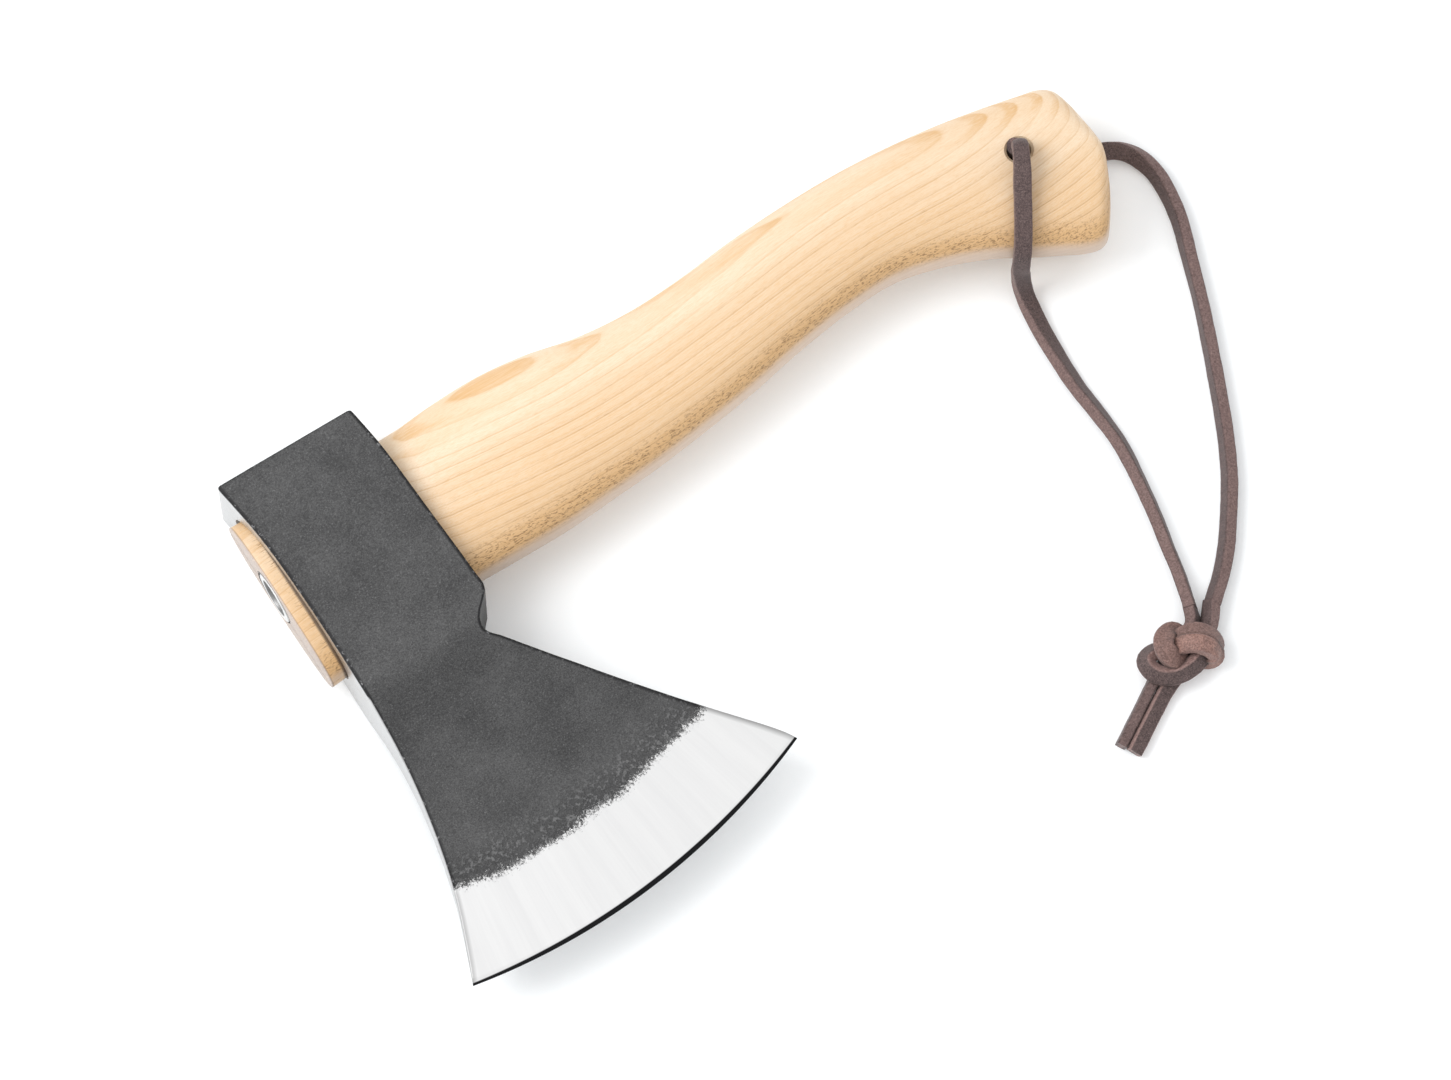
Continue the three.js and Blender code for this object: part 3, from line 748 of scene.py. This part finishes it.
def ring_steel():
    """Bright turned steel with fine rings from the lathe, a few dull spots and painted shade on its inner
    wall.
    """
    s = Shader("ring_steel")
    radius = s.length(s.add(s.y, -RING_Y / MM), s.add(s.z, -MID_Z / MM))
    turning = s.noise(s.join(s.times(radius, 5.0), s.times(s.x, 5.0), 0.0), 1.0, 2.0)
    smudge = s.noise(s.position, 0.5, 3.0)
    colour = s.mix(smudge, (0.62, 0.62, 0.62), (0.82, 0.82, 0.81))
    bore = (RING_RADIUS - RING_WALL) / MM
    # Painted shade: the inner wall of the ring is painted dark grey.
    inside = s.step(radius, bore + 0.35, bore + 0.1)
    colour = s.layers(colour, (inside, 0.85, (0.20, 0.20, 0.20)))
    s.set(Base_Color=colour, Metallic=0.8, Roughness=s.step(turning, 0.2, 0.8, 0.38, 0.55))
    s.bump(turning, 0.03)
    return s.material


def leather():
    """Dark suede-like lace: speckled violet brown faces, paler pinkish cut edges, a worn warm knot and
    painted shade in the creases.
    """
    s = Shader("leather")
    nap = s.noise(s.position, 2.2, 4.0, 0.75)
    fleck = s.step(s.noise(s.position, 3.5, 2.0, 0.6), 0.60, 0.72)
    blotch = s.noise(s.position, 0.35, 3.0, 0.6)
    cut = s.attribute("cut_edge")
    cut = s.times(cut, s.step(cut, 0.15, 0.5))
    rub = s.attribute("rub")
    face = s.mix(s.step(nap, 0.3, 0.72), (0.038, 0.023, 0.023), (0.140, 0.095, 0.090))
    edge = s.mix(s.step(nap, 0.3, 0.7), (0.17, 0.098, 0.088), (0.40, 0.26, 0.235))
    worn = s.mix(s.step(nap, 0.3, 0.72), (0.140, 0.068, 0.055), (0.40, 0.235, 0.195))
    colour = s.layers(
        face,
        (s.step(blotch, 0.45, 0.75), 0.3, (0.15, 0.105, 0.10)),
        (rub, s.step(blotch, 0.25, 0.6, 0.6, 1.0), worn),
        (cut, 0.85, edge),
        (fleck, 0.35, (0.42, 0.31, 0.29)),
        # Painted shade in the creases where strands touch.
        (s.attribute("crease_shade"), 0.85, (0.018, 0.009, 0.007)))
    matt = s.step(nap, 0.2, 0.8, 0.55, 0.82)
    s.set(Base_Color=colour, Roughness=s.add(matt, s.times(rub, -0.15)))
    s.set(Sheen_Weight=0.12, Sheen_Roughness=0.5, Specular_IOR_Level=0.35)
    s.bump(s.add(s.times(nap, 0.6), s.times(s.noise(s.position, 7.0, 2.0), 0.4)), 0.12)
    return s.material


FLOOR_GLOW = 0.14


def floor_paper():
    """Pale cool matt paper with a faint tooth, lit a little from below as on a light table."""
    s = Shader("floor_paper")
    tooth = s.noise(s.position, 0.8, 3.0)
    s.set(Base_Color=s.mix(tooth, (0.832, 0.850, 0.862), (0.857, 0.875, 0.887)), Roughness=0.9)
    s.set(Specular_IOR_Level=0.1, Emission_Color=(1.0, 1.0, 1.0), Emission_Strength=FLOOR_GLOW)
    s.bump(tooth, 0.02)
    return s.material


# -------- lace

STRIP_CORNER = 0.55 * MM
# The strip's width and thickness vary by this share, in waves of these lengths, under a fine nap.
UNEVEN = 0.05
WIDTH_WAVE = 5 * MM
THICKNESS_WAVE = 4 * MM
NAP_SIZE = 0.9 * MM
NAP_DEPTH = 0.05 * MM
# Distances from a strand's middle at which painted shade on the strand beside it starts, and is full.
CREASE_SHADE_FROM = 2.9 * MM
CREASE_SHADE_FULL = 1.7 * MM
CORNER_POINTS = 5
SIDE_POINTS = 6
KNOT_SEED = 20
# How pale the middle of a cut end is.
HUB_CUT = 0.7
# Distances between the cross-sections of the lace and of the knot's strands.
LACE_STEP = 0.8 * MM
KNOT_STEP = 0.7 * MM
# The lace in the hole: off the hole's middle, its turn, and the heights that it passes.
IN_HOLE = np.array([-0.4, 1.2]) * MM
IN_HOLE_ROLL = 25
IN_HOLE_HEIGHTS = np.array([4.2, 9, 14, 19, 24.2]) * MM


def strip_section():
    """Outline of the flat lace: a rectangle with soft corners, and how much each point is a cut edge."""
    half = np.array([LACE_WIDTH, LACE_THICKNESS]) / 2 - STRIP_CORNER
    corners = half * [(1, 1), (-1, 1), (-1, -1), (1, -1)]
    share = (np.arange(1, SIDE_POINTS) / SIDE_POINTS)[:, None]
    points, cut = [], []
    for k in range(4):
        turns = np.radians(k * 90 + np.linspace(0, 90, CORNER_POINTS))
        round_off = STRIP_CORNER * np.column_stack([np.cos(turns), np.sin(turns)])
        start, goal = corners[k] + round_off[-1], corners[(k + 1) % 4] + round_off[-1]
        points += [corners[k] + round_off, start + (goal - start) * share]
        cut += [abs(np.cos(turns)), np.full(SIDE_POINTS - 1, abs(np.cos(turns[-1])))]
    return np.concatenate(points), np.concatenate(cut)


def strip_frames(line, rolls):
    """Side and normal of the strip at each point of its line, kept level and then rolled."""
    tangent = unit(np.gradient(line, axis=0))
    plan = tangent[:, :2].copy()
    for _ in range(3):
        plan[1:-1] = (plan[:-2] + 2 * plan[1:-1] + plan[2:]) / 4
    side = unit(np.stack([plan[:, 1], -plan[:, 0], np.zeros(len(plan))], axis=1))
    side = unit(side - tangent * (side * tangent).sum(1, keepdims=True))
    normal = np.cross(side, tangent)
    c, s = np.cos(rolls)[:, None], np.sin(rolls)[:, None]
    return side * c + normal * s, normal * c - side * s


def strip_mesh(line, rolls, seed, size, squeeze):
    """Rings of a strip along a line, with slightly uneven edges, and each point's cut-edge share."""
    outline, cut = strip_section()
    sizes, squeezes = np.broadcast_to(size, len(line)), np.broadcast_to(squeeze, len(line))
    side, normal = strip_frames(line, rolls)
    along = run_length(line)
    rings = []
    for i, centre in enumerate(line):
        wide = 1 + UNEVEN * noise.noise(Vector((along[i] / WIDTH_WAVE, seed, 0)))
        thick = 1 + UNEVEN * noise.noise(Vector((along[i] / THICKNESS_WAVE, seed, 9)))
        shape = outline * sizes[i] * (1 - squeezes[i]) + unit(outline) * SQUEEZED_RADIUS * squeezes[i]
        ring = centre + shape[:, :1] * wide * side[i] + shape[:, 1:] * thick * normal[i]
        nap = [noise.noise(Vector(p) / NAP_SIZE) for p in ring]
        outward = unit(ring - centre)
        rings.append(ring + outward * np.array(nap)[:, None] * NAP_DEPTH)
    return rings, np.tile(cut, len(line))


def crease_shade(points, others):
    """Painted shade: how close each point lies to the middle of another strand, from 0 to 1 where they
    touch.
    """
    if not others:
        return np.zeros(len(points))
    middles = np.concatenate(others)
    away = np.linalg.norm(points[:, None] - middles[None], axis=2).min(1)
    return np.clip((CREASE_SHADE_FROM - away) / (CREASE_SHADE_FROM - CREASE_SHADE_FULL), 0, 1)


def strip_piece(name, strands, material, squeeze=0):
    """One mesh of lace strips, each with a line, rolls, seed, size, rub and paleness of its cut edges."""
    points, faces, cuts, rubs, crease_shades = [], [], [], [], []
    for line, rolls, seed, size, rub, edge in strands:
        rings, cut = strip_mesh(line, rolls, seed, size, squeeze)
        skin, skin_faces = closed_skin(rings)
        start = sum(len(block) for block in points)
        faces += [tuple(start + i for i in face) for face in skin_faces]
        points.append(skin)
        cuts += [cut * np.repeat(np.broadcast_to(edge, len(line)), len(rings[0])), np.full(2, HUB_CUT)]
        rubs.append(np.full(len(skin), rub))
        others = [strand[0] for strand in strands if strand[0] is not line]
        crease_shades.append(crease_shade(skin, others))
    made = piece(name, np.concatenate(points), faces, material, sharp_angle=50)
    paint(made, "cut_edge", np.concatenate(cuts))
    paint(made, "rub", np.concatenate(rubs))
    paint(made, "crease_shade", np.concatenate(crease_shades))
    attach(made, "lanyard")
    return made


def leg(name, route, roll, squeeze, material, seed):
    """A free stretch of the lace, turned about its own line as roll says, and that line."""
    line = smooth_line(route, LACE_STEP)
    shares, degrees = zip(*roll)
    along = run_length(line)
    share = along / along[-1]
    rolls = np.radians(np.interp(share, shares, degrees))
    strands = [(line, rolls, seed, 1, 0, LEG_EDGE)]
    made = strip_piece(name, strands, material, np.interp(share, *squeeze))
    return made, line


def make_knot(material):
    """The overhand knot: bands wrapped round the two strands, with the big loop under them."""
    strands = []
    middle = np.array([KNOT_X, KNOT_Y, KNOT_Z + KNOT_LIFT])
    for seed, (name, points) in enumerate(KNOT_STRANDS.items()):
        line = smooth_line(points, KNOT_STEP / MM)
        size, edge = KNOT_SIZE.get(name, 1), KNOT_EDGE.get(name, 1)
        if name in TAIL_EDGE:
            # These two run from the legs to the tails, so their look changes on the way.
            size = np.linspace(1, TAIL_SIZE, len(line))
            edge = np.linspace(LEG_EDGE, TAIL_EDGE[name], len(line))
        place, rolls = line[:, :3] * MM + middle, np.radians(line[:, 3])
        strands.append((place, rolls, KNOT_SEED + seed, size, KNOT_RUB.get(name, 0), edge))
    knot = strip_piece("tied_knot", strands, material)
    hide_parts("lace_knot")
    return knot


def make_lace(material):
    """The lace in the hole, its two legs, the knot and the two tails."""
    x, y = IN_HOLE + (HOLE_X, HOLE_Y)
    hole_line = smooth_line([(x, y, z) for z in IN_HOLE_HEIGHTS], LACE_STEP)
    rolls = np.full(len(hole_line), math.radians(IN_HOLE_ROLL))
    hole_strand = (hole_line, rolls, 5, 1, 0, LEG_EDGE)
    hole_piece = strip_piece("lace_through_hole", [hole_strand], material, SQUEEZE[1][0])
    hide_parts("lace_in_hole")

    for name, node, route, core, seed in (
        ("tail_a_cut_end", "lace_tail_a", TAIL_A, "core_a", 7),
        ("tail_b_cut_end", "lace_tail_b", TAIL_B, "core_b", 8),
    ):
        line = smooth_line(route, KNOT_STEP)
        rolls = np.full(len(line), math.radians(KNOT_STRANDS[core][-1][3]))
        tail = strip_piece(name, [(line, rolls, seed, TAIL_SIZE, 0, TAIL_EDGE[core])], material)
        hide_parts(node)
    knot = make_knot(material)

    for name, node, route, roll, squeeze, seed in (
        ("near_leg", "lace_near_leg", NEAR_LEG, NEAR_LEG_ROLL, SQUEEZE, 1),
        ("far_leg", "lace_far_leg", FAR_LEG, FAR_LEG_ROLL, ((0, 1), (0, 0)), 2),
    ):
        made, line = leg(name, route, roll, squeeze, material, seed)
        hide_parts(node)


# -------- head

CHEEK_POINTS = 84
WALL_POINTS = 10
TURN_POINTS = 4
# The poll's rounded corner as a share of the cheek's height.
CORNER_ROWS = POLL_CORNER / (60 * MM)
# The cutter of the eye: x, and how far it stands out from the plain oval to round off both mouths.
EYE_MOUTHS = np.array([
    [-115, 0.5], [-103, 0.5], [-102, 0.4], [-101, 0.15], [-99.5, 0], [-72, 0], [-69, 0.15],
    [-66.5, 0.5], [-50, 0.5],
]) * MM


def dense_outline(outline, count=4000):
    """An outline with rounded turns, as many close points."""
    line = smooth_line(np.column_stack([outline, np.zeros(len(outline))]), 0.02 * MM)
    return line[np.linspace(0, len(line) - 1, count).astype(int), :2]


def row_number(points):
    """Where a point lies: 0 at the poll, 1 where the arcs start, and then one more for each millimetre."""
    radius = np.hypot(*(points - EDGE_CENTRE).T)
    across = np.clip((points[:, 0] - EDGE_CENTRE[0]) / CHEEK_RADIUS, -1, 1)
    arc_y = EDGE_CENTRE[1] - CHEEK_RADIUS * np.sqrt(1 - across ** 2)
    share = (POLL_Y - points[:, 1]) / (POLL_Y - arc_y)
    return np.where(share < 1, share, 1 + np.maximum(radius - CHEEK_RADIUS, 0) / MM)


def row_y(row, x):
    """Height in y of a row at x."""
    radius = CHEEK_RADIUS + max(row - 1, 0) * MM
    arc_y = EDGE_CENTRE[1] - np.sqrt(radius ** 2 - (x - EDGE_CENTRE[0]) ** 2)
    return POLL_Y + (arc_y - POLL_Y) * min(row, 1)


def blade_half(radius):
    """Half of the blade's thickness at a distance from the centre of the edge's arc."""
    return np.interp(radius, BLADE_PROFILE[:, 0], BLADE_PROFILE[:, 1])


def head_loop(row, left, right, half, shrink, corner_shade_and_wear_row):
    """One loop round the head: from the middle of the eye end over the top cheek and back under it."""
    corner = min(HEAD_CORNER, half * 0.45)
    half = half - shrink
    left, right = left + shrink, right - shrink
    turn = np.linspace(0, np.pi / 2, TURN_POINTS + 1)[1:-1]
    rise = np.linspace(0, half - corner, WALL_POINTS)
    walk = np.linspace(left + corner, right - corner, CHEEK_POINTS)
    x = np.concatenate([
        np.full(WALL_POINTS, left), left + corner * (1 - np.cos(turn)), walk,
        right - corner * (1 - np.sin(turn)), np.full(WALL_POINTS, right)])
    z = np.concatenate([
        rise, half - corner * (1 - np.sin(turn)), np.full(CHEEK_POINTS, half),
        half - corner * (1 - np.cos(turn)), rise[::-1]])
    # Corners carry painted dark shade and chipping.
    corner_shade_and_wear = np.concatenate([
        np.zeros(WALL_POINTS - 1), np.ones(len(turn) + 2), np.zeros(CHEEK_POINTS - 2),
        np.ones(len(turn) + 2), np.zeros(WALL_POINTS - 1)])
    end_face = (np.arange(len(x)) <= WALL_POINTS + len(turn) // 2).astype(float)
    y = row_y(row, x)
    top = np.column_stack([x, y, z])
    under = (top * [1, 1, -1])[-2:0:-1]
    loop = np.concatenate([top, under]) + [0, 0, MID_Z]
    marks = [np.concatenate([m, m[-2:0:-1]]) for m in (np.maximum(corner_shade_and_wear, corner_shade_and_wear_row), end_face)]
    return loop, marks


def cap(loop_start, count):
    """Faces that close a loop whose second half mirrors its first."""
    half = count // 2
    faces = [(loop_start, loop_start + 1, loop_start + count - 1)]
    faces += [
        tuple(loop_start + k for k in (a, a + 1, count - a - 1, count - a)) for a in range(1, half - 1)
    ]
    faces.append(tuple(loop_start + k for k in (half - 1, half, half + 1)))
    return faces


def head_rows():
    """Row numbers from the poll to the edge, closer together where the shape turns."""
    # The poll's rounded corner covers the first rows, so the cheek starts a little under it.
    cheek = np.linspace(0.02, 1, 42)
    bevel_at, honed_at, edge_at = (
        (radius - CHEEK_RADIUS) / MM for radius in (BEVEL_RADIUS, MICRO_BEVEL_RADIUS, EDGE_RADIUS))
    hollow = 1 + np.arange(0.6, bevel_at - 0.3, 0.75)
    bevel = 1 + np.linspace(bevel_at, honed_at - 0.3, 26)
    honed = 1 + np.linspace(honed_at, edge_at, 5)
    return np.concatenate([cheek, hollow, bevel, honed])


def dented(points):
    """Forging marks: shallow dents that fade out on the ground bevel."""
    radius = np.hypot(*(points[:, :2] - EDGE_CENTRE).T)
    fade = np.clip((BEVEL_RADIUS - radius) / DENT_FADE, 0, 1)
    elsewhere = Vector((7, 3, 1))
    large = np.array([noise.noise(Vector(p) / DENT_SIZE) for p in points])
    small = np.array([noise.noise(Vector(p) / SMALL_DENT_SIZE + elsewhere) for p in points])
    shift = large + 0.5 * small
    side = np.sign(points[:, 2] - MID_Z)
    flat = np.abs(points[:, 2] - MID_Z) / CHEEK_HALF > 0.25
    moved = points.copy()
    moved[:, 2] += side * flat * fade * (shift - 0.6) * DENT_DEPTH
    return moved


def oval():
    """Points across and up a squarish oval that reaches 1 each way."""
    angle = 2 * np.pi * np.arange(OVAL_SIDES) / OVAL_SIDES
    return [np.sign(way) * np.abs(way) ** (2 / OVAL_POWER) for way in (np.cos(angle), np.sin(angle))]


def eye_oval(x, grow):
    """The oval of the eye at one x, made larger all round by grow."""
    share = (x - EYE_FRONT[0]) / (EYE_BACK[0] - EYE_FRONT[0])
    _, centre, half_length, half_height = EYE_FRONT + (EYE_BACK - EYE_FRONT) * share
    across, up = oval()
    return np.column_stack([
        np.full(OVAL_SIDES, x), centre + across * (half_length + grow), MID_Z + up * (half_height + grow)])


def make_head(material):
    """The forged head, lofted from the poll to the edge, with the eye cut through it."""
    back, front = dense_outline(BACK_OUTLINE), dense_outline(FRONT_OUTLINE)
    back_rows, front_rows = row_number(back), row_number(front)
    # The poll's rounded corner, then the rows down to the edge: row, half thickness and inset.
    turns = np.linspace(0, np.pi / 2, 5)[:-1]
    rows = [(CORNER_ROWS * (1 - math.cos(t)), CHEEK_HALF, POLL_CORNER * (1 - math.sin(t))) for t in turns]
    rows += [(row, blade_half(CHEEK_RADIUS + max(row - 1, 0) * MM), 0) for row in head_rows()]
    loops, marks = [], []
    for row, half, inset in rows:
        left, right = np.interp(row, front_rows, front[:, 0]), np.interp(row, back_rows, back[:, 0])
        # Rows in the poll's rounded corner get the painted dark shade and chipping of the corners.
        worn = float(0.2 * POLL_CORNER < inset < 0.9 * POLL_CORNER)
        loop, mark = head_loop(row, left, right, half, inset, worn)
        loops.append(loop)
        marks.append(mark)
    count = len(loops[0])
    points = np.concatenate(loops)
    faces = tube_faces(len(loops), count) + cap(0, count) + cap((len(loops) - 1) * count, count)
    corner_shade_and_wear, end_face = (np.concatenate([mark[k] for mark in marks]) for k in (0, 1))
    points = dented(points)
    head = piece("forged_head", points, faces, material)
    cutter = capped_loft("eye", [eye_oval(x, grow) for x, grow in EYE_MOUTHS], material)
    combine(head, [cutter], "DIFFERENCE")
    paint(head, "corner_shade_and_wear", carried(head, points, corner_shade_and_wear))
    paint(head, "end_face", carried(head, points, end_face))
    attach(head, "hatchet")
    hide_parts("axe_head")


# -------- handle and wedges

TONGUE_RINGS = 40
WEDGE_RINGS = 12
HAFT_STEP = 0.9 * MM
# How much of each of the haft's marks, painted shade and sheen among them, the plain wedge has.
WEDGE_MARKS = 0.3
# The sawn end of the tongue has a soft rim: how far each ring is inset, and how far back it lies.
TONGUE_RIM = np.array([[0.35, 0], [0.1, 0.1], [0, 0.35]]) * MM


def tongue_end(y):
    """x of the slanted end of the tongue at y."""
    (x0, y0), (x1, y1) = TONGUE_END
    return x0 + (x1 - x0) * (y - y0) / (y1 - y0)


def tongue_ring(share, sunk=0):
    """A ring of the tongue at a share of the way from its slanted end, which may be sunk a little."""
    ring = eye_oval(TONGUE_BACK_X * share + WEDGE_END_X * (1 - share), -EYE_FIT)
    ring[:, 0] = (tongue_end(ring[:, 1]) + sunk) * (1 - share) + TONGUE_BACK_X * share
    return ring


def haft_rings():
    """Rings from the slanted end of the tongue to the butt."""
    rings = []
    for inset, back in TONGUE_RIM:
        ring = eye_oval(WEDGE_END_X, -EYE_FIT - inset)
        ring[:, 0] = tongue_end(ring[:, 1]) + back
        rings.append(ring)
    rings += [tongue_ring(share) for share in np.linspace(0.03, 1, TONGUE_RINGS)]
    rungs = smooth_line(np.insert(HANDLE_RUNGS, 2, 0, axis=1), HAFT_STEP)
    across, up = oval()
    for high_x, high_y, _, low_x, low_y, half in rungs:
        rings.append(np.column_stack([
            (high_x + low_x) / 2 + across * (high_x - low_x) / 2,
            (high_y + low_y) / 2 + across * (high_y - low_y) / 2,
            MID_Z + up * half]))
    return rings, np.tile(across, len(rings))


def wedge_plate(end_x, grow, material):
    """Kerf or wedge: a tapered plate on the middle plane, made larger all round by grow."""
    thick = WEDGE_TIP_HALF + (WEDGE_END_HALF - WEDGE_TIP_HALF) * (
        (end_x - WEDGE_TIP_X) / (WEDGE_END_X - WEDGE_TIP_X)) + grow
    thin, tip = WEDGE_TIP_HALF + grow, WEDGE_TIP_X + grow
    side = [(end_x, -thick), (tip, -thin), (tip, thin), (end_x, thick)]
    rings = [np.array([(x, y, MID_Z + z) for x, z in side]) for y in (80 * MM, 0)]
    return capped_loft("plate", rings, material)


def ring_channel(material):
    """The channel that the ring cuts, with the sunk face of the wood inside it."""
    end = RING_END_X - 3 * MM
    inner = RING_RADIUS - RING_WALL - GAP
    bottom = RING_END_X + RING_DEPTH + GAP
    profile = [
        (0, end), (RING_RADIUS + GAP, end), (RING_RADIUS + GAP, RING_END_X),
        (RING_RADIUS + GAP - RING_DRAFT, bottom), (inner, bottom), (inner, RING_END_X + CORE_RECESS),
        (0, RING_END_X + CORE_RECESS)]
    return turned("channel", profile, 0, (RING_Y, MID_Z), RING_SIDES, material)


def lanyard_bore(material):
    """The bore for the lace, with a rounded chamfer at both mouths."""
    bottom, top = MID_Z - BUTT_HALF, MID_Z + BUTT_HALF
    mouth = HOLE_RADIUS + HOLE_CHAMFER
    lip = [(mouth + 2 * MM, 2 * MM), (mouth, 0), (HOLE_RADIUS + 0.35 * MM, -0.75 * HOLE_CHAMFER),
           (HOLE_RADIUS, -1.3 * HOLE_CHAMFER)]
    profile = [(0, bottom - 2 * MM)] + [(r, bottom - z) for r, z in lip]
    profile += [(r, top + z) for r, z in reversed(lip)] + [(0, top + 2 * MM)]
    return turned("bore", profile, 2, (HOLE_X, HOLE_Y), 64, material)


def make_handle(material):
    """The haft with its kerf, the ring's channel and the lanyard hole."""
    rings, across = haft_rings()
    points = np.concatenate(rings)
    handle = capped_loft("haft", rings, material)
    kerf = wedge_plate(OUTSIDE_X, GAP * 0.5, material)
    combine(handle, [kerf, lanyard_bore(material), ring_channel(material)], "DIFFERENCE")
    # Painted shade: the ochre band along the shoulder of the edge side, between the top and the flank, and
    # the darker lower half. The flank gets a painted pale sheen.
    rise = np.clip((-across - 0.66) / 0.18, 0, 1)
    fall = np.clip((-across - 0.93) / 0.06, 0, 1)
    marks = {
        "edge_side_shade_band": rise * (1 - fall),
        # Painted sheen on the lower flank.
        "flank_sheen": fall,
        "poll_side": np.clip((across - 0.45) / 0.35, 0, 1),
        "shaded_lower_half": np.clip((0.45 - across) / 0.9, 0, 1),
    }
    for name, values in marks.items():
        paint(handle, name, carried(handle, points, values))
    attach(handle, "hatchet")
    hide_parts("handle")


def make_wedge(material):
    """The wooden wedge, almost flush with the tongue's end, with the ring driven across it."""
    wedge = wedge_plate(OUTSIDE_X, 0, material)
    body = [tongue_ring(share, WEDGE_SUNK) for share in np.linspace(0, 1, WEDGE_RINGS)]
    combine(wedge, [capped_loft("inside", body, material)], "INTERSECT")
    combine(wedge, [ring_channel(material)], "DIFFERENCE")
    for mark in ("edge_side_shade_band", "flank_sheen", "poll_side", "shaded_lower_half"):
        paint(wedge, mark, np.full(len(wedge.data.vertices), WEDGE_MARKS))
    wedge.name = "flat_wedge"
    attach(wedge, "hatchet")
    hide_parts("wooden_wedge")


def make_ring(material):
    """The steel ring with softened rims."""
    soft = 0.25 * MM
    inner, outer = RING_RADIUS - RING_WALL, RING_RADIUS
    sharp = outer - RING_DRAFT
    end, deep = RING_END_X, RING_END_X + RING_DEPTH
    profile = [
        (inner, end + soft), (inner + soft * 0.3, end + soft * 0.3), (inner + soft, end),
        (outer - soft, end), (outer - soft * 0.3, end + soft * 0.3), (outer, end + soft),
        (sharp, deep), (sharp - 0.5 * MM, deep), (inner, end + 5 * MM)]
    rings = [circle(*at, 0, (RING_Y, MID_Z), RING_SIDES) for at in profile]
    count = len(rings) * RING_SIDES
    faces = [tuple(i % count for i in face) for face in tube_faces(len(rings) + 1, RING_SIDES)]
    ring = piece("round_wedge", np.concatenate(rings), faces, material)
    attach(ring, "hatchet")
    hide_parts("ring_wedge")


# -------- stage

FLOOR_HALF = 1.6
FLOOR_LEVEL = -0.05 * MM
KEY_PLACE = (-0.55, 0.45, 0.9)
KEY_SIZE = 0.7
KEY_ENERGY = 7.5
SKY_TOP = 1.17
SKY_HORIZON = 0.50
# Height of a direction, as a sine, above which the sky has its full brightness.
SKY_FULL = 0.9


def make_floor(material):
    """A square of paper just under the part."""
    corners = [(x * FLOOR_HALF, y * FLOOR_HALF, 0) for x, y in ((-1, -1), (1, -1), (1, 1), (-1, 1))]
    floor = piece("floor", corners, [(0, 1, 2, 3)], material)
    floor.location.z = FLOOR_LEVEL


def area_light(name, place, target, size, energy):
    """A square softbox that faces its target."""
    data = bpy.data.lights.new(name, "AREA")
    data.size = size
    data.energy = energy
    light = bpy.data.objects.new(name, data)
    bpy.context.scene.collection.objects.link(light)
    light.location = place
    light.rotation_euler = (Vector(target) - Vector(place)).to_track_quat("-Z", "Y").to_euler()


def make_lights():
    """White studio: bright overhead, dimmer towards the horizon, with a key from the poll side."""
    world = bpy.data.worlds.new("studio")
    bpy.context.scene.world = world
    world.use_nodes = True
    nodes, links = world.node_tree.nodes, world.node_tree.links
    background = nodes["Background"]
    direction = nodes.new("ShaderNodeTexCoord").outputs["Generated"]
    height = nodes.new("ShaderNodeSeparateXYZ")
    links.new(direction, height.inputs[0])
    sky = nodes.new("ShaderNodeMapRange")
    sky.interpolation_type = "SMOOTHSTEP"
    for socket, number in zip(list(sky.inputs)[1:5], (0.0, SKY_FULL, SKY_HORIZON, SKY_TOP)):
        socket.default_value = number
    links.new(height.outputs["Z"], sky.inputs[0])
    links.new(sky.outputs[0], background.inputs["Strength"])
    background.inputs["Color"].default_value = (1, 1, 1, 1)
    area_light("key", KEY_PLACE, (0, 0, 0), KEY_SIZE, KEY_ENERGY)
    bpy.context.scene.view_settings.view_transform = "Standard"


# -------- assembly

make_camera()
make_lace(leather())
make_head(forged_steel())
make_handle(wood("handle_wood", 0.10))
make_wedge(wood("wedge_wood", 0.12))
make_ring(ring_steel())
make_floor(floor_paper())
make_lights()
